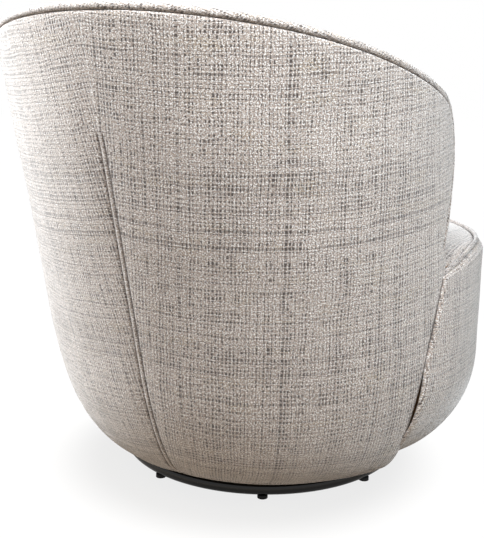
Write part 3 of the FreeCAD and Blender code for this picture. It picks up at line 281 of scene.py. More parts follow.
enamel = Finish("gloss_black_enamel")
enamel_place = enamel.place()
enamel_peel = enamel.noise(enamel_place, 420, 2)
enamel_dust = enamel.noise(enamel_place, 34, 4, 0.6).rise(0.48, 0.75)
gloss_black = enamel.surface(
    Base_Color=enamel.blend(enamel_dust * 0.25, (0.006, 0.006, 0.0065), (0.03, 0.029, 0.027)),
    Roughness=0.13 + 0.22 * enamel_dust,
    Specular_IOR_Level=0.35, Coat_Weight=0.35, Coat_Roughness=0.06,
    Normal=enamel.bump(enamel_peel, 0.12, 0.0004))
paint(gloss_black, "base_ring", "base_cross")


# Foot glides: nylon buttons moulded in matt black and pressed into the ring's tube, scuffed
# where the chair has been pushed over a floor.
glide = Finish("matt_black_nylon")
glide_scuff = glide.noise(glide.place(), 260, 5, 0.65)
matt_black = glide.surface(
    Base_Color=glide.blend(glide_scuff.rise(0.5, 0.8),
                           (0.012, 0.012, 0.012), (0.05, 0.048, 0.045)),
    Roughness=0.55 + 0.25 * glide_scuff,
    Normal=glide.bump(glide_scuff, 0.3, 0.0003))
paint(matt_black, "foot_glides")


# Plates of the swivel and rocker unit: pressed and welded steel in satin black powder coat
# with a fine texture, worn a little lighter in places.
coat = Finish("satin_black_powder_coat")
coat_place = coat.place()
coat_grain = coat.noise(coat_place, 900, 3, 0.6)
coat_wear = coat.noise(coat_place, 22, 4, 0.6).rise(0.5, 0.85)
satin_black = coat.surface(
    Base_Color=coat.blend(coat_wear * 0.6, (0.018, 0.018, 0.019), (0.06, 0.058, 0.055)),
    Roughness=0.38 + 0.15 * coat_grain,
    Normal=coat.bump(coat_grain, 0.35, 0.0003))
paint(satin_black, "hub_plate", "lower_bearing_plate", "swivel_plate", "pivot_brackets",
      "hanger_plates", "mounting_plate", "lower_spring_cups", "upper_spring_cups", "stop_posts")


# Bearing, pins, bolts and screws: turned or rolled steel, bright zinc with fine turning marks
# and a faint yellowish bloom.
zinc = Finish("bright_zinc")
zinc_place = zinc.place()
zinc_marks = zinc.noise(zinc.stretched(zinc_place, (40, 40, 900)), 1.0, 3, 0.6)
zinc_bloom = zinc.noise(zinc_place, 60, 4, 0.6).rise(0.45, 0.75)
bright_zinc = zinc.surface(
    Base_Color=zinc.blend(zinc_bloom, (0.56, 0.56, 0.55), (0.5, 0.46, 0.36)),
    Metallic=1.0, Roughness=0.22 + 0.25 * zinc_marks,
    Normal=zinc.bump(zinc_marks, 0.12, 0.0003))
paint(bright_zinc, "plate_bolts", "lower_race", "upper_race", "king_pin", "lock_nut",
      "pin_washer", "bearing_balls", "pivot_shaft", "shaft_collars", "mounting_bolts",
      "tee_nuts", "board_screws", "spring_clips")


# Bushes and ball cage: turned and moulded in natural nylon, cream and slightly waxy, pressed
# into the brackets and laid between the two ball races.
nylon = Finish("natural_nylon")
nylon_cloud = nylon.noise(nylon.place(), 70, 3)
waxy_nylon = nylon.surface(
    Base_Color=nylon.blend(nylon_cloud, (0.7, 0.68, 0.6), (0.78, 0.76, 0.69)),
    Roughness=0.4 + 0.15 * nylon_cloud, Subsurface_Weight=0.1, Subsurface_Scale=0.01,
    Normal=nylon.bump(nylon_cloud, 0.1, 0.0003))
paint(waxy_nylon, "centre_bush", "pivot_bushes", "ball_cage")


# Bump stops: buttons moulded in black rubber with a chalky bloom, pushed on to the stop posts
# that end the rocking.
rubber = Finish("black_rubber")
rubber_bloom = rubber.noise(rubber.place(), 150, 5, 0.65)
black_rubber = rubber.surface(
    Base_Color=rubber.blend(rubber_bloom.rise(0.45, 0.8),
                            (0.015, 0.015, 0.015), (0.06, 0.06, 0.058)),
    Roughness=0.7 + 0.2 * rubber_bloom, Normal=rubber.bump(rubber_bloom, 0.3, 0.0004))
paint(black_rubber, "bump_stops")


# Springs: oiled spring steel wire. The coil springs stand between the swivel plate and the
# mounting plate; like the zigzag ones, they keep one shape.
def whole_mesh(operator, **settings):
    """Runs an operator on all of the mesh of the piece in hand."""
    bpy.ops.object.mode_set(mode="EDIT")
    bpy.ops.mesh.select_all(action="SELECT")
    operator(**settings)
    bpy.ops.object.mode_set(mode="OBJECT")


wire = Finish("oiled_spring_wire")
wire_draw = wire.noise(wire.place(), 240, 4, 0.6)
spring_wire = wire.surface(
    Base_Color=wire.blend(wire_draw, (0.12, 0.12, 0.125), (0.3, 0.29, 0.28)),
    Metallic=1.0, Roughness=0.28 + 0.25 * wire_draw, Normal=wire.bump(wire_draw, 0.15, 0.0003))
paint(spring_wire, "zigzag_springs")
for end in ("front", "rear"):
    node_name = "rocker_springs_" + end
    spring_low, spring_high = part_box(node_name)
    springs = cad[node_name].copy()
    springs.data = springs.data.copy()
    springs.name = "coil_springs_" + end
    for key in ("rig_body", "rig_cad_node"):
        del springs[key]
    springs.parent = None
    bpy.context.scene.collection.objects.link(springs)
    springs.select_set(True)
    bpy.context.view_layer.objects.active = springs
    whole_mesh(bpy.ops.mesh.remove_doubles, threshold=0.00001)
    bpy.ops.object.shade_smooth()
    springs.data.materials.clear()
    springs.data.materials.append(spring_wire)
    middle = (spring_low + spring_high) / 2
    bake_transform(springs)
    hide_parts(node_name)
    bpy.ops.object.select_all(action="DESELECT")


# Frame: sawn softwood rails and posts and plywood boards, glued, screwed and stapled into the
# cage that carries the shell, the springs and the covers.
wood = Finish("sawn_softwood")
wood_place = wood.place()
wood_rings = wood.noise(wood.stretched(wood_place, (3, 60, 60)), 1.6, 5, 0.6)
wood_fibre = wood.noise(wood.stretched(wood_place, (30, 700, 700)), 1.0, 3, 0.6)
softwood = wood.surface(
    Base_Color=wood.blend(wood_rings.rise(0.35, 0.7), (0.6, 0.42, 0.24), (0.4, 0.25, 0.12)),
    Roughness=0.6 + 0.2 * wood_fibre, Normal=wood.bump(wood_fibre, 0.4, 0.0005))
paint(softwood, "cross_rails", "rail_blocks", "bottom_board", "lower_posts", "lip_strip",
      "seat_rail", "top_rail", "arm_posts", "back_posts")


# Shell board and apron panel: hardboard, smooth brown with short fibres, bent round the frame
# and stapled to its posts and rails.
board = Finish("bent_hardboard")
board_fibre = board.noise(board.place(), 500, 4, 0.7)
hardboard = board.surface(
    Base_Color=board.blend(board_fibre, (0.24, 0.13, 0.07), (0.36, 0.22, 0.12)),
    Roughness=0.55 + 0.2 * board_fibre, Normal=board.bump(board_fibre, 0.25, 0.0003))
paint(hardboard, "shell_board", "apron_panel")


# Felt over the seat springs: a pad of pressed grey waste fibre with coloured flecks, stapled
# to the seat rail to keep the foam off the wire.
felt = Finish("pressed_grey_felt")
felt_place = felt.place()
felt_fibre = felt.noise(felt_place, 650, 5, 0.75)
felt_flecks = felt.noise(felt_place, 210, 2, 0.5).rise(0.62, 0.72)
grey_felt = felt.surface(
    Base_Color=felt.blend(felt_flecks, (0.16, 0.155, 0.15), (0.34, 0.22, 0.16)),
    Roughness=0.95, Normal=felt.bump(felt_fibre, 0.6, 0.0012))
paint(grey_felt, "seat_insulator")


# Outside covers: slubby tweed chenille on thin wadding, drawn down the outside of the shell
# from the piping at the rim to the lip under the seat, and joined up the middle of the back
# by a seam with two rows of stitching that runs out like a dart.
cloth_name = "cloth"
# Attributes for the back seam's painted shade in its grooves and painted highlight on the ridge
# between them.
painted_seam_light_names = ("painted_groove_shade", "painted_ridge_highlight")
column_pitch = 0.0055
row_pitch = 0.0062


def tweed(name):
    """Tweed chenille: bobbly pale yarns, dark threads that show in columns and rows between
    them, and patches where the tan weft lies on top. Along the back seam, shade is painted
    into the grooves and a painted highlight clears most dark threads off the ridge between them."""
    made = Finish(name)
    flat = made.node("ShaderNodeUVMap", {"uv_map": cloth_name}, {})
    along = made.node("ShaderNodeSeparateXYZ", {}, {"Vector": flat}, "X")
    up = made.node("ShaderNodeSeparateXYZ", {}, {"Vector": flat}, "Y")

    def wander(place, scale, seed):
        return made.node("ShaderNodeTexNoise", {"noise_dimensions": "1D"},
                         {"W": place * scale + seed, "Detail": 1.0}, "Fac") - 0.5

    def chance(place, seed):
        return made.node("ShaderNodeTexWhiteNoise", {"noise_dimensions": "1D"},
                         {"W": place + seed}, "Value")

    sway = made.noise(flat, 16, 2) - 0.5
    jolt = made.noise(flat, 240, 1) - 0.5
    u = along / column_pitch + 0.85 * wander(along, 48, 3.7) + 1.3 * sway + 0.4 * jolt
    v = up / row_pitch + 1.1 * wander(up, 40, 9.1) - 1.3 * sway + 0.35 * jolt
    cell = made.node("ShaderNodeCombineXYZ", {}, {"X": u.whole(), "Y": v.whole()})
    luck = made.node("ShaderNodeTexWhiteNoise", {"noise_dimensions": "2D"},
                     {"Vector": cell}, "Value")
    column = chance(u.whole(), 0.5)
    row = chance(v.whole(), 411.5)
    cloud = made.noise(made.stretched(flat, (1.0, 1.5, 1.0)), 13, 3, 0.6)
    beside = (u.part() - 0.5).size()
    over = (v.part() - 0.5).size()
    fine = made.noise(flat, 610, 1, 0.5)
    speck = made.noise(flat, 430, 1, 0.5)
    shag = made.noise(made.stretched(flat, (1.0, 0.6, 1.0)), 260, 2, 0.6)
    column_line = 1.0 - beside.rise(0.06, 0.24)
    row_line = 1.0 - over.rise(0.05, 0.2)
    chosen = luck * 0.85 + 0.25 * column + 0.35 * row + 0.3 * cloud
    dashes = ((1.0 - beside.rise(0.12, 0.31)) * (1.0 - over.rise(0.16, 0.4))
              * chosen.rise(0.3, 0.92))
    threads = ((column_line * (0.15 + 0.35 * column)).most(row_line * (0.12 + 0.5 * row * row))
               * (1.3 * speck + 0.5 * cloud).rise(0.6, 1.0))
    painted_groove_shade, painted_ridge_highlight = (made.node("ShaderNodeAttribute", {"attribute_name": mark}, {}, "Fac")
                     for mark in painted_seam_light_names)
    # The seam's grooves are darkened as painted shade; on the ridge between them most dark threads
    # are left out as a painted highlight.
    dark_threads_and_painted_shade = (dashes.most(threads) * (1.0 - 0.75 * painted_ridge_highlight)).most(painted_groove_shade * 0.8)
    patch = made.noise(made.stretched(flat, (0.75, 2.4, 1)), 15, 4, 0.62)
    ground = made.blend(shag.rise(0.3, 0.7), (0.335, 0.251, 0.203), (0.51, 0.408, 0.345))
    ground = made.blend(patch.rise(0.52, 0.74) * 0.75, ground, (0.4, 0.3, 0.205))
    ground = made.blend(speck.rise(0.48, 0.6) * 0.85, ground, (0.92, 0.865, 0.83))
    ground = made.blend(fine.rise(0.5, 0.38) * 0.75, ground, (0.13, 0.09, 0.072))
    ground = made.blend(dark_threads_and_painted_shade, ground, (0.055, 0.035, 0.027))
    height = speck * 0.6 + shag * 0.5 + fine * 0.3 - dark_threads_and_painted_shade * 0.6
    return made.surface(
        Base_Color=ground, Roughness=0.72, Specular_IOR_Level=0.5,
        Sheen_Weight=0.85, Sheen_Roughness=0.5, Sheen_Tint=(0.98, 0.965, 0.96, 1.0),
        Normal=made.bump(height, 0.8, 0.0014))


cover_cloth = tweed("tweed_chenille")

# The shell outside: circles whose middle and radius change with height, rounded in below.
mm = 0.001
shell_level, shell_radius, shell_middle = 300.0, 386.6, 22.9
shell_taper, shell_lean = 0.033, 0.2666
bowl_top, lip_height, lip_radius, lip_middle = 253.0, 47.0, 312.0, -20.0
grain_turn, bowl_stretch = math.radians(8.0), 1.18


def sunk(height, top, low):
    """How far down the bowl under a wall a height lies: 0 at its top and 1 at its lip."""
    return max(0.0, min((top - height) / (top - low), 1.0))


def shell_circle(height):
    """Middle behind the swivel axis and radius of the shell at a height."""
    rise, low = height - shell_level, lip_height - shell_level
    drawn_in = 1 - math.sqrt(1 - sunk(height, bowl_top, lip_height) ** 2)
    middle = shell_middle + shell_lean * rise
    middle -= (shell_middle + shell_lean * low - lip_middle) * drawn_in
    radius = shell_radius - shell_taper * rise
    radius -= (shell_radius - shell_taper * low - lip_radius) * drawn_in
    return middle, radius


arm_front, arm_rake, arm_tuck = 130.0, 0.275, 105.0
corner_radius = 95.0
rim_back_height, rim_front_height, rim_front_y, rim_rise = 799.5, 661.5, 52.0, 9.0


def arm_line(height, drop=0.0):
    """Front edge of the arm in side view, drawn back by the drop."""
    rise = height - shell_level
    tuck = arm_tuck * (min(rise, 0) / shell_level) ** 2
    return arm_front - arm_rake * rise - tuck + drop * math.hypot(1, arm_rake)


back_middle, back_radius = shell_circle(rim_back_height)
rim_back = Vector((back_middle + back_radius, rim_back_height))
rim_front = Vector((rim_front_y, rim_front_height))
chord = rim_back - rim_front
chord_up = Vector((-chord.y, chord.x)).normalized()
rim_radius = chord.length ** 2 / (8 * rim_rise) + rim_rise / 2
rim_centre = (rim_back + rim_front) / 2 + chord_up * (rim_rise - rim_radius)
arm_way = Vector((-arm_rake, 1)).normalized()
arm_back = Vector((1, arm_rake)).normalized()
arm_start = Vector((arm_front, shell_level)) + arm_back * corner_radius
arm_offset = arm_start - rim_centre
arm_half = arm_offset.dot(arm_way)
corner = arm_start + arm_way * (
    -arm_half + math.sqrt(arm_half ** 2 - arm_offset.length_squared
                          + (rim_radius - corner_radius) ** 2))
to_rim = (corner - rim_centre).normalized()
corner_sweep = to_rim.angle(-arm_back)


def turn_at(spot, circle):
    """Angle round the shell, from the middle of the back, of a place in side view."""
    middle, radius = circle(spot.y)
    return math.acos(max(-1.0, min(1.0, (spot.x - middle) / radius)))


seam_join_high, seam_join_low, seam_tongue = 437.0, 418.0, 9.0


def edge_line(circle, drop, low, steps=160, low_drop=None):
    """The edge of a wall, from the middle of the back round to the foot of the arm: angle and
    height of each point, and which point is the middle of the rounded corner. The low drop is
    the one where the arm meets the apron."""
    line = []
    rim_start = corner + to_rim * (corner_radius - drop)
    last_turn = turn_at(rim_start, circle)
    for step in range(steps):
        turn = last_turn * step / steps
        height = rim_back_height
        for again in range(25):
            middle, radius = circle(height)
            y = middle + radius * math.cos(turn)
            height = rim_centre.y + math.sqrt((rim_radius - drop) ** 2 - (y - rim_centre.x) ** 2)
        line.append((turn, height))
    for step in range(steps):
        sweep = corner_sweep * step / steps
        spoke = Vector((to_rim.x * math.cos(sweep) - to_rim.y * math.sin(sweep),
                        to_rim.x * math.sin(sweep) + to_rim.y * math.cos(sweep)))
        spot = corner + spoke * (corner_radius - drop)
        line.append((turn_at(spot, circle), spot.y))
    arm_top = (corner - arm_back * (corner_radius - drop)).y
    for step in range(steps + 1):
        height = arm_top + (low - arm_top) * step / steps
        here = drop if low_drop is None else float(
            np.interp(height, (seam_join_low, seam_join_high), (low_drop, drop)))
        line.append((turn_at(Vector((arm_line(height, here), height)), circle), height))
    return line, steps + steps // 2


def on_circle(circle, turn, height, out=0.0, side=1):
    """A point of a wall, moved out of it, in mm from the swivel axis."""
    middle, radius = circle(height)
    radius += out
    return side * radius * math.sin(turn), middle + radius * math.cos(turn), height


def travelled(spots):
    """How far along a line each of its points lies."""
    gaps = np.linalg.norm(np.diff(np.array(spots), axis=0), axis=1)
    return np.concatenate([[0], np.cumsum(gaps)])


def spread(line, circle):
    """A function from a share of a line's length to its angle and height."""
    reached = travelled([on_circle(circle, turn, height) for turn, height in line])
    points = np.array(line)
    return lambda share: np.array([np.interp(share * reached[-1], reached, points[:, k])
                                   for k in (0, 1)])


def wall_map(circle, drop, low, low_drop=None):
    """Spreads a square over a half wall: across 0 is the middle of the back and 1 the front of
    the arm, up 0 is the foot and 1 the rim. Returns the angle and the height."""
    line, bend = edge_line(circle, drop, low, low_drop=low_drop)
    top = spread(line[:bend + 1], circle)
    front = spread(line[bend:][::-1], circle)
    back = spread([(0.0, low + (line[0][1] - low) * k / 60) for k in range(61)], circle)
    foot_turn = line[-1][0]

    def place(s, t):
        foot = np.array([foot_turn * s, low])
        corners = ((1 - s) * (1 - t) * np.array([0.0, low]) + s * (1 - t) * front(0.0)
                   + (1 - s) * t * top(0.0) + s * t * top(1.0))
        return (1 - t) * foot + t * top(s) + (1 - s) * back(t) + s * front(t) - corners

    return place


def draped(name, across_shares, up_shares, place, marks=None):
    """A grid with one vertex for each pair of shares. place gives a vertex's point in mm from
    the swivel axis and its place on the cloth in metres; marks gives the weights of the painted
    shade in a sewn groove and of the painted highlight on the ridge beside it."""
    columns, rows = len(across_shares), len(up_shares)
    bpy.ops.mesh.primitive_grid_add(x_subdivisions=columns - 1, y_subdivisions=rows - 1, size=2)
    sheet = bpy.context.object
    sheet.name = name
    mesh = sheet.data
    flat = {}
    if marks:
        for mark in painted_seam_light_names:
            mesh.attributes.new(mark, "FLOAT", "POINT")
    for vertex in mesh.vertices:
        column = round((vertex.co.x + 1) / 2 * (columns - 1))
        row = round((vertex.co.y + 1) / 2 * (rows - 1))
        s, t = across_shares[column], up_shares[row]
        point, cloth = place(s, t)
        if marks:
            for mark, depth in zip(painted_seam_light_names, marks(s, t)):
                mesh.attributes[mark].data[vertex.index].value = depth
        vertex.co = Vector((point[0] * mm, point[1] * mm + axis_y, point[2] * mm))
        flat[vertex.index] = cloth
    while mesh.uv_layers:
        mesh.uv_layers.remove(mesh.uv_layers[0])
    layer = mesh.uv_layers.new(name=cloth_name)
    for loop in mesh.loops:
        layer.data[loop.index].uv = flat[loop.vertex_index]
    return sheet


def close_seams():
    """Merges the points of the new sheet that meet where its edges are sewn together."""
    whole_mesh(bpy.ops.mesh.remove_doubles, threshold=0.00005)


def lined(piece, thickness):
    """Gives a sheet its thickness, away from its outer face, and turns its faces outwards."""
    if thickness:
        wall = piece.modifiers.new("wall", "SOLIDIFY")
        wall.thickness = thickness
        wall.offset = -1
        wall.use_even_offset = False
        bpy.ops.object.modifier_apply(modifier=wall.name)
    whole_mesh(bpy.ops.mesh.normals_make_consistent, inside=False)
    bpy.ops.object.shade_smooth()


def turn_over(piece, facing):
    """Turns a sheet over if its faces, weighed by the given function, look the wrong way."""
    if sum(facing(face) * face.area for face in piece.data.polygons) < 0:
        whole_mesh(bpy.ops.mesh.flip_normals)


def face_out(piece, from_spot):
    """Turns a sheet's faces away from a spot in mm from the swivel axis."""
    middle = Vector((from_spot[0] * mm, from_spot[1] * mm + axis_y, from_spot[2] * mm))
    turn_over(piece, lambda face: (face.center - middle).dot(face.normal))


def upholster(piece, fill, *nodes):
    """Covers a padded piece in the tweed and sets it in the chair in place of CAD nodes."""
    piece.data.materials.append(cover_cloth)
    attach(piece, "seat")
    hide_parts(*nodes)


def edge_fall(edge_radius, from_edge):
    """How far a rounded edge has fallen away at a distance from its end."""
    if from_edge >= edge_radius:
        return 0.0
    return edge_radius - math.sqrt(edge_radius ** 2 - (edge_radius - from_edge) ** 2)


def shell_cloth(turn, height, side):
    """Place on the cloth, whose yarns lean a little from the back seam."""
    lean = math.hypot(1, shell_lean)
    if height < bowl_top:
        share = math.asin(sunk(height, bowl_top, lip_height)) / (math.pi / 2)
        height = bowl_top - (bowl_top - lip_height) * share * bowl_stretch
    along = shell_lean / lean * shell_radius * math.cos(turn) + lean * height
    around = shell_radius * (turn - 0.0166 * (turn - math.sin(2 * turn) / 2))
    return (side * (around * math.cos(grain_turn) - along * math.sin(grain_turn)) * mm,
            (around * math.sin(grain_turn) + along * math.cos(grain_turn)) * mm)


seam_end, seam_fade, seam_depth = 627.0, 26.0, 4.0
stitch_place, groove_width = 4.3, 1.5
valley_depth, ridge_height, fold_depth, fold_length = 2.2, 0.9, 1.6, 90.0
cover_drop = 12.6
cover_lining = 4.5


def hump(distance, width):
    """A soft hump, 1 at its middle and a third as high at its width."""
    return math.exp(-(distance / width) ** 2)


def seam_dip(around, height):
    """Depth of the back seam's two grooves and of the soft valley that holds them, and of the
    fold that runs on above the end of the seam."""
    fade = max(0.0, min(1.0, (seam_end - height) / seam_fade))
    fold_left = (1 - fade) * hump(max(0.0, height - seam_end), fold_length)
    return (fade * (seam_depth * hump(around - stitch_place, groove_width)
                    + valley_depth * hump(around, 19.0) - ridge_height * hump(around, 3.2))
            + fold_depth * hump(around - 10, 16.0) * fold_left)


def swell(turn, height, side):
    """Slow unevenness of the wadding under the cover."""
    return (0.7 * math.sin(turn * 5.3 + height * 0.011 + side)
            + 0.5 * math.sin(turn * 9.1 - height * 0.023 + 2 * side)
            + 0.35 * math.sin(height * 0.041 + turn * 3.0))


cover_map = wall_map(shell_circle, cover_drop, lip_height, low_drop=-seam_tongue)
cover_width, cover_height, cover_back_width = 560, 720, 520
near_seam = [0, 1.1, 2.1, 2.9, 3.6, 4.3, 5.0, 5.8, 6.8, 8.2, 10, 13, 17, 23, 31, 41]
cover_across = [k / cover_back_width for k in near_seam]
cover_across += [cover_across[-1] + (1 - cover_across[-1]) * k / 84 for k in range(1, 81)]
cover_across += [1 - k / cover_width for k in (20, 14, 9, 6, 4, 2.6, 1.4, 0.6, 0)]
cover_up = [-1, -0.75, -0.5, -0.3, -0.15] + [k / 100 for k in range(0, 97)]
cover_up += [1 - k / cover_height for k in (18, 12, 8, 5.5, 3.8, 2.4, 1.3, 0.5, 0)]
cover_edge_radius = 4.0
cover_hem, cover_hem_in, cover_hem_up = 14, 12, 9


def cover_place(s, t, side):
    """A cover's point and its place on the cloth. Below 0 the hem turns in under the lip."""
    turn, height = cover_map(s, max(t, 0))
    around = turn * shell_circle(height)[1]
    from_edge = min((1 - s) * cover_width, (1 - t) * cover_height)
    out = -seam_dip(around, height) + swell(turn, height, side) * min(1, around / 60)
    out -= edge_fall(cover_edge_radius, from_edge)
    out -= 0.6 * hump(from_edge, 7.0)
    u, v = shell_cloth(turn, height, side)
    if t < 0:
        out += cover_hem_in * t
        height += cover_hem_up * t * t
        v += cover_hem * t * mm
    return on_circle(shell_circle, turn, height, out, side), (u, v)


def seam_shade_and_highlight(s, t):
    """How far a point lies in a groove of the back seam and on the ridge between them: the
    weights of the painted shade in the grooves and of the painted highlight on the ridge.
    """
    turn, height = cover_map(s, max(t, 0))
    around = turn * shell_circle(height)[1]
    fade = max(0.0, min(1.0, (seam_end - height) / 12.0))
    return fade * hump(around - stitch_place, groove_width), fade * math.exp(-(around / 3.0) ** 4)


for side, name in ((1, "left"), (-1, "right")):
    cover = draped("outside_cover_" + name + "_tweed", cover_across, cover_up,
                   lambda s, t: cover_place(s, t, side), seam_shade_and_highlight)
    close_seams()
    face_out(cover, (0, 60, 380))
    lined(cover, cover_lining * mm)
    upholster(cover, 0.3, "outside_cover_" + name)


# Stitches of the back seam: two rows of dark brown thread, one each side of the join, each
# stitch sunk in its groove with its ends pulled in.
thread = Finish("brown_thread")
thread_twist = thread.noise(thread.stretched(thread.place(), (1, 1, 0.3)), 2200, 2)
brown_thread = thread.surface(
    Base_Color=thread.blend(thread_twist, (0.05, 0.028, 0.018), (0.1, 0.06, 0.04)),
    Roughness=0.6 + 0.2 * thread_twist, Normal=thread.bump(thread_twist, 0.4, 0.0003))
stitch_pitch, stitch_length, stitch_radius = 4.6, 4.1, 0.85
bpy.ops.mesh.primitive_uv_sphere_add(segments=6, ring_count=5, radius=1)
first_stitch = bpy.context.object
first_stitch.data.transform(Matrix.Diagonal((stitch_radius, stitch_radius,
                                             stitch_length / 2, 1)))
for side, name in ((1, "left"), (-1, "right")):
    stitches = []
    height = lip_height + 12.0
    while height < seam_end - 4:
        middle, radius = shell_circle(height)
        turn = stitch_place / radius
        out = -seam_dip(stitch_place, height) + swell(turn, height, side) * stitch_place / 60
        spot = Vector(on_circle(shell_circle, turn, height, out + 0.25, side))
        over = Vector(on_circle(shell_circle, turn, height + 2, out + 0.25, side)) - spot
        stitch = first_stitch.copy()
        stitch.data = first_stitch.data.copy()
        bpy.context.scene.collection.objects.link(stitch)
        tilt = over.to_track_quat("Z", "Y").to_matrix().to_4x4()
        stitch.data.transform(Matrix.Translation((0, axis_y, 0)) @ Matrix.Diagonal((mm, mm, mm, 1))
                              @ Matrix.Translation(spot) @ tilt)
        stitches.append(stitch)
        height += stitch_pitch * (over.z / over.length)
    bpy.ops.object.select_all(action="DESELECT")
    for stitch in stitches:
        stitch.select_set(True)
    bpy.context.view_layer.objects.active = stitches[0]
    bpy.ops.object.join()
    row_of_stitches = bpy.context.object
    row_of_stitches.name = "back_seam_stitches_" + name
    bpy.ops.object.shade_smooth()
    row_of_stitches.data.materials.append(brown_thread)
    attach(row_of_stitches, "seat")
bpy.data.objects.remove(first_stitch)


# Rim piping: a cord wrapped in the tweed, sewn into the corner between the outside cover and
# the roll, from the foot of one arm's front over the back to the other.
piping_inset = 6.0
piping_radius = 5.5
piping_foot = 414
piping_step, piping_sides = 4.5, 18


def rim_spots(drop, inset, low):
    """Points along the whole rim, from the right arm's foot to the left's."""
    line, bend = edge_line(lambda level: (shell_circle(level)[0], shell_circle(level)[1] - inset),
                           drop, low, 90)
    half = [Vector(on_circle(shell_circle, turn, height, -inset)) for turn, height in line]
    return [Vector((-p.x, p.y, p.z)) for p in half[::-1]] + half[1:]


def evenly(spots, gap):
    """The same line with points at an even spacing."""
    points = np.array([tuple(p) for p in spots])
    reached = travelled(points)
    places = np.linspace(0, reached[-1], int(reached[-1] / gap) + 1)
    return [Vector([np.interp(p, reached, points[:, k]) for k in range(3)]) for p in places]


def piping(name, spots, radius):
    """A round covered cord that follows the points, closed at both ends."""
    ways = [(spots[min(k + 1, len(spots) - 1)] - spots[max(k - 1, 0)]).normalized()
            for k in range(len(spots))]
    gap = (spots[1] - spots[0]).length
    last = len(spots) - 1

    def place(s, t):
        step = round(s * last)
        way = ways[step]
        outward = (spots[step] - Vector((0, 40, spots[step].z)))
        outward = (outward - way * outward.dot(way)).normalized()
        over = way.cross(outward)
        angle = 2 * math.pi * t
        ruck = radius * (1 + 0.035 * math.sin(step * 0.9) + 0.025 * math.sin(step * 0.37 + 2))
        point = spots[step] + (outward * math.cos(angle) + over * math.sin(angle)) * ruck
        along, round_it = step * gap, angle * radius
        return point, ((along + round_it * 0.7) * mm, (round_it - along * 0.3) * mm)

    cord = draped(name, [k / last for k in range(last + 1)],
                  [k / piping_sides for k in range(piping_sides + 1)], place)
    close_seams()
    bpy.ops.object.mode_set(mode="EDIT")
    bpy.ops.mesh.select_all(action="DESELECT")
    bpy.ops.mesh.select_non_manifold()
    bpy.ops.mesh.edge_face_add()
    bpy.ops.object.mode_set(mode="OBJECT")
    lined(cord, 0)
    return cord


rim_line = evenly(rim_spots(piping_inset, piping_inset, piping_foot), piping_step)
upholster(piping("rim_piping_tweed", rim_line, piping_radius), 0.9, "rim_welt")


# Roll over the rim: foam wrapped over the top rail and the front of the arms, under a strip
# of the tweed that is sewn to the piping outside and to the inside back within.
pad_levels = (430.0, 500.0, 620.0, 720.0)
pad_insets = (96.0, 101.0, 91.0, 82.0)
roll_outer = 12.0
roll_foot = 356.0
roll_drop = 44.0
roll_lining = 4


def pad_inset(height):
    """How far inside the shell's outside the inner back lies."""
    return float(np.interp(height, pad_levels, pad_insets))


def pad_circle(height):
    """Middle and radius of the inner back at a height."""
    middle, radius = shell_circle(height)
    return middle, radius - pad_inset(height)


roll_section = ((0.0, 11.0), (0.0, 6.5), (0.02, 3.6), (0.06, 1.8), (0.13, 0.8), (0.25, 0.2),
                (0.4, 0.0), (0.55, 0.5), (0.68, 2.2), (0.78, 5.0), (0.86, 9.2), (0.92, 14.5),
                (0.96, 21.0), (0.985, 28.0), (1.0, 35.0), (1.02, 40.0), (1.07, 43.0),
                (1.14, 43.5))
roll_clearance = 0.5


def roll_circle(height, share):
    """Middle and radius of the roll a share of the way from its outside to the inner back."""
    middle, radius = shell_circle(height)
    return middle, radius - roll_outer - share * (pad_inset(height) - roll_outer)


roll_rows = []
for share, drop in roll_section:
    line, bend = edge_line(lambda level: roll_circle(level, share), drop + roll_clearance,
                           roll_foot, 80)
    half = [on_circle(lambda level: roll_circle(level, share), turn, height)
            for turn, height in line]
    roll_rows.append([(-x, y, z) for x, y, z in half[::-1]] + half[1:])
roll_last = len(roll_rows[0]) - 1
roll_travel = travelled(roll_rows[6])
roll_reach = np.concatenate([[0], np.cumsum([
    math.hypot((b[0] - a[0]) * 78, b[1] - a[1]) for a, b in zip(roll_section, roll_section[1:])])])


def roll_place(s, t):
    step, row = round(s * roll_last), round(t * (len(roll_section) - 1))
    x, y, z = roll_rows[row][step]
    bulge = math.sin(math.pi * min(row / 14, 1.0))
    z += bulge * (0.5 * math.sin(step * 0.21) + 0.35 * math.sin(step * 0.083 + 1))
    return (x, y, z), (roll_travel[step] * mm, roll_reach[row] * mm)


roll = draped("rim_roll_tweed", [k / roll_last for k in range(roll_last + 1)],
              [k / (len(roll_section) - 1) for k in range(len(roll_section))], roll_place)
turn_over(roll, lambda face: face.normal.z)
lined(roll, roll_lining * mm)
upholster(roll, 0.8, "rim_roll")


# Inside back: a foam pad with its fullest part at the small of the back, under one piece of
# the tweed that reaches round from arm to arm and goes down behind the seat.
pad_low = 356.0
pad_drop = roll_drop - 3.0
pad_lining = 26.0
pad_width, pad_height, pad_edge_radius = 470, 400, 9
pad_map = wall_map(pad_circle, pad_drop, pad_low)


def pad_place(s, t):
    side = -1 if s < 0 else 1
    turn, height = pad_map(abs(s), t)
    from_edge = min((1 - abs(s)) * pad_width, (1 - t) * pad_height)
    out = 0.8 * math.sin(turn * 4.3 + height * 0.013) + 0.5 * math.sin(height * 0.05 + turn * 2)
    out += edge_fall(pad_edge_radius, from_edge)
    middle, radius = pad_circle(height)
    return (on_circle(pad_circle, turn, height, out, side),
            (side * turn * radius * mm, height * 1.035 * mm))


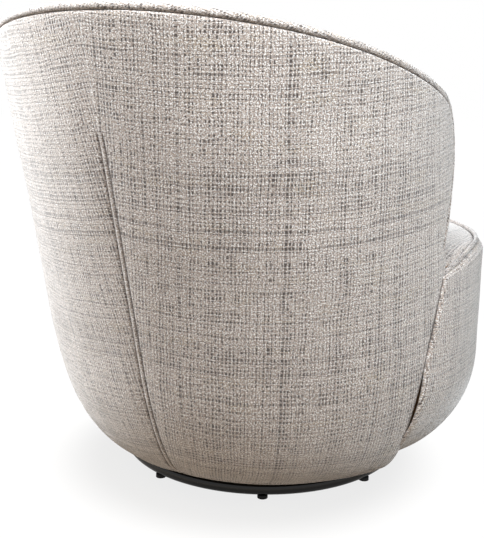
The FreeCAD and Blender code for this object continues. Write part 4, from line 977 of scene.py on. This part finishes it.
pad_across = [k / 90 for k in range(-86, 87)]
pad_edge = [1 - k / pad_width for k in (16, 11, 8, 5.5, 3.5, 2, 1, 0.4, 0)]
pad_across = [-share for share in pad_edge[::-1]] + pad_across + pad_edge
pad_up = [k / 60 for k in range(0, 57)]
pad_up += [1 - k / pad_height for k in (18, 12, 8, 5.5, 3.5, 2, 1, 0.4, 0)]
inside = draped("inside_back_tweed", pad_across, pad_up, pad_place)
sitter = Vector((0, axis_y, 0.5))
turn_over(inside, lambda face: (sitter - face.center).dot(face.normal))
lined(inside, pad_lining * mm)
upholster(inside, 0.6, "inside_back")


# Seat: a thick foam cushion on the springs, crowned on top and drawn in at its edge, in one
# cover of the tweed. It is full round in front and narrower between the arms.
drum_radius, drum_middle = 398.0, 5.0
seat_low, seat_edge, seat_rise, seat_edge_radius = 362.0, 426.3, 29.7, 374.5
seat_behind_arm, seat_gap, piping_gap, seat_round_off = 2.0, 1.6, 2.2, 7.0
seam_circle, seam_level, seam_dip_depth = 389.0, 425.5, 26.0
dip_start, dip_end = math.radians(-6), math.radians(13)
cap_half = math.atan(seat_rise / seat_edge_radius)
cap_radius = seat_edge_radius / math.sin(2 * cap_half)


def seat_reach(turn):
    """How far the seat reaches from the drum's middle, straight ahead at minus a quarter."""
    wide_back = arm_line(seat_edge + seat_rise) - seat_behind_arm - drum_middle
    middle, radius = shell_circle(seat_edge)
    radius -= pad_inset(seat_edge) + seat_gap
    offset = middle - drum_middle
    narrow = (offset * math.sin(turn)
              + math.sqrt(radius ** 2 - (offset * math.cos(turn)) ** 2))
    if math.sin(turn) * seat_edge_radius < wide_back:
        return seam_circle - piping_gap
    return max(narrow, min(seam_circle - piping_gap, wide_back / math.sin(turn)))


def seam_height(turn):
    """Level of the seam between seat and apron, which dips where it nears an arm. The turn
    goes from the back's side of the right arm round the front to that of the left."""
    from_side = -math.pi - turn if turn < -math.pi / 2 else turn
    share = max(0.0, min(1.15, (from_side - dip_start) / (dip_end - dip_start)))
    return seam_level - seam_dip_depth * share ** 1.4


seat_turns = 240
seat_rounds = [k / 26 for k in range(24)] + [0.94, 0.957, 0.97, 0.98, 0.987, 0.993, 0.997, 1.0]
smooth_reach = [seat_reach(2 * math.pi * k / seat_turns) for k in range(seat_turns)]
for again in range(2):
    smooth_reach = [min(smooth_reach[k], (smooth_reach[k - 1] + 2 * smooth_reach[k]
                                          + smooth_reach[(k + 1) % seat_turns]) / 4)
                    for k in range(seat_turns)]
seat_side = [0.0, 0.03, 0.08, 0.16, 0.3, 0.45, 0.6, 0.75, 0.9, 0.97, 1.0]
seat_levels = [("top", share) for share in seat_rounds]
seat_levels += [("side", share) for share in seat_side]
seat_levels += [("under", share) for share in (0.97, 0.8, 0.4, 0.0)]


def seat_place(s, t):
    kind, share = seat_levels[round(t * (len(seat_levels) - 1))]
    step = round(s * seat_turns)
    turn = 2 * math.pi * step / seat_turns
    reach = smooth_reach[step % seat_turns]
    seam = seam_height(turn if turn < math.pi / 2 else turn - 2 * math.pi)
    sag = (seam_level - seam) * (1 if reach > seam_circle - 12 else 0.4)
    if kind == "top":
        radius = reach * share
        height = seat_edge + seat_rise - cap_radius + math.sqrt(cap_radius ** 2 - radius ** 2)
        height -= edge_fall(seat_round_off, reach - radius)
        height += 1.1 * math.sin(radius * 0.03 + 3 * math.cos(turn)) * (1 - share) * share * 2
        height -= sag * max(0.0, (radius - reach + 70) / 70) ** 2
        along = radius
    elif kind == "side":
        rim = (seat_edge + seat_rise - cap_radius + math.sqrt(cap_radius ** 2 - reach ** 2)
               - seat_round_off - sag)
        height = rim + (seat_low - rim) * share
        radius = reach - 2.0 + 2.0 * math.sin(math.pi * min(share * 1.15, 1.0))
        along = reach + (rim - height)
    else:
        height, radius = seat_low, reach * share
        along = reach + 70 + (1 - share) * reach
    point = (radius * math.cos(turn), drum_middle + radius * math.sin(turn), height)
    return point, (along * math.cos(turn) * mm, along * math.sin(turn) * mm)


cushion = draped("seat_cushion_tweed", [k / seat_turns for k in range(seat_turns + 1)],
                 [k / (len(seat_levels) - 1) for k in range(len(seat_levels))], seat_place)
close_seams()
lined(cushion, 0)
upholster(cushion, 0.8, "seat_top", "seat_foam")


# Seat piping: a cord covered in the tweed, sewn between the seat and the apron and running
# round the front from one arm to the other.
seat_piping_radius, seat_piping_end, behind_arm_edge = 3.6, 400, 7
piping_back = math.asin((arm_line(seat_piping_end) + behind_arm_edge - drum_middle) / seam_circle)
piping_sweep = math.pi + 2 * piping_back
seat_spots = []
for step in range(361):
    turn = -math.pi - piping_back + piping_sweep * step / 360
    seat_spots.append(Vector((seam_circle * math.cos(turn),
                              drum_middle + seam_circle * math.sin(turn), seam_height(turn))))
upholster(piping("seat_piping_tweed", evenly(seat_spots, piping_step), seat_piping_radius),
          0.9, "seat_welt")


# Front apron: tweed on thin foam over a bent panel, from the seat's piping down round the
# drum to its lower lip, and tucked in beside the front edge of each arm.
drum_bowl_top, drum_low, drum_low_radius, drum_low_middle = 235.0, 70.0, 292.0, -9.0
apron_top, apron_shoulder, apron_bend = 420.0, 402, 380
apron_gap = 0.4
apron_lining = 8.0
apron_proud, apron_flush_share, apron_flush_width = 4.6, 0.3, 60
apron_width, apron_edge_radius = 1150, 6
apron_hem, apron_hem_in, apron_hem_up = 14, 12, 8


def drum_circle(height):
    """Middle and radius of the drum's outside at a height."""
    drawn_in = 1 - math.sqrt(1 - sunk(height, drum_bowl_top, drum_low) ** 2)
    return (drum_middle + (drum_low_middle - drum_middle) * drawn_in,
            drum_radius + (drum_low_radius - drum_radius) * drawn_in)


apron_heights = [drum_bowl_top - (drum_bowl_top - drum_low) * math.sin(math.pi / 2 * (1 - k / 34))
                 for k in range(34)]
apron_heights += [drum_bowl_top + (apron_shoulder - drum_bowl_top) * k / 26 for k in range(27)]
apron_heights += [405, 408, 411, 413.8, 416, 417.8, 419.2, apron_top]
apron_run = [0.0]
for below, above_it in zip(apron_heights, apron_heights[1:]):
    gap_out = drum_circle(above_it)[1] - drum_circle(below)[1]
    apron_run.append(apron_run[-1] + math.hypot(above_it - below, gap_out))
apron_rows = [-1, -0.7, -0.45, -0.2] + list(range(len(apron_heights)))
apron_columns = [k / 150 for k in range(3, 148)]
apron_edge = [k / apron_width for k in (0, 0.4, 1, 2, 3.5, 5.5, 8, 12, 17)]
apron_columns = apron_edge + apron_columns + [1 - share for share in apron_edge[::-1]]


def apron_turn(s, height, middle, radius):
    """Angle round the drum of a share of the apron's width, which narrows with the arms."""
    back = math.asin((arm_line(height) - apron_gap - middle) / radius)
    return -math.pi - back + (math.pi + 2 * back) * s


def apron_place(s, t):
    """The apron's point and its place on the cloth. Rows below 0 turn in under the lip."""
    row = apron_rows[round(t * (len(apron_rows) - 1))]
    height = apron_heights[max(int(row), 0)]
    middle, radius = drum_circle(height)
    turn = apron_turn(s, height, middle, radius)
    shoulder = max(0.0, height - apron_shoulder)
    if height > apron_bend:
        top = seam_height(turn) - 4.0
        height = apron_bend + (height - apron_bend) * (top - apron_bend) / (apron_top - apron_bend)
        turn = apron_turn(s, height, middle, radius)
    from_edge = min(s, 1 - s) * apron_width
    flush = apron_flush_share + (1 - apron_flush_share) * min(1.0, from_edge / apron_flush_width)
    out = (apron_proud * flush + 0.6 * math.sin(turn * 7 + height * 0.02)
           + 0.4 * math.sin(height * 0.045))
    out -= edge_fall(apron_edge_radius, from_edge)
    if shoulder > 0:
        out -= 15 * (1 - math.sqrt(1 - (shoulder / 18.2) ** 2))
    run = apron_run[max(int(row), 0)]
    if row < 0:
        out += apron_hem_in * row
        height += apron_hem_up * row * row
        run += apron_hem * row
    radius_there = radius + out
    return ((radius_there * math.cos(turn), middle + radius_there * math.sin(turn), height),
            ((turn + math.pi / 2) * radius * mm, run * mm))


apron = draped("front_apron_tweed", apron_columns,
               [k / (len(apron_rows) - 1) for k in range(len(apron_rows))], apron_place)
face_out(apron, (0, -20, 260))
lined(apron, apron_lining * mm)
upholster(apron, 0.5, "front_apron")


# Dust cover: a ring of black non-woven cambric stapled up under the bottom board, drawn tight
# with a slight droop between its inner and outer edge.
cambric_inner, cambric_outer, cambric_level = 150.5, 275.5, 83.7
cambric = Finish("black_cambric")
cambric_place = cambric.place()
cambric_web = cambric.noise(cambric_place, 850, 4, 0.7)
cambric_dots = cambric.node("ShaderNodeTexVoronoi", {"feature": "F1"},
                            {"Vector": cambric_place, "Scale": 420}, "Distance")
black_cambric = cambric.surface(
    Base_Color=cambric.blend(cambric_web, (0.012, 0.012, 0.012), (0.04, 0.04, 0.042)),
    Roughness=0.85, Normal=cambric.bump(cambric_dots + cambric_web * 0.5, 0.4, 0.0006))


def cambric_spot(s, t):
    turn = 2 * math.pi * s
    radius = cambric_inner + (cambric_outer - cambric_inner) * t
    droop = 0.6 * math.sin(math.pi * t) * (1 + 0.3 * math.sin(8 * turn))
    return ((radius * math.cos(turn), radius * math.sin(turn), cambric_level - droop),
            (radius * math.cos(turn) * mm, radius * math.sin(turn) * mm))


dust = draped("dust_cover_cambric", [k / 120 for k in range(121)], [k / 10 for k in range(11)],
              cambric_spot)
close_seams()
face_out(dust, (0, 0, 300))
lined(dust, 0.5 * mm)
dust.data.materials.append(black_cambric)
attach(dust, "seat")
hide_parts("dust_cover")
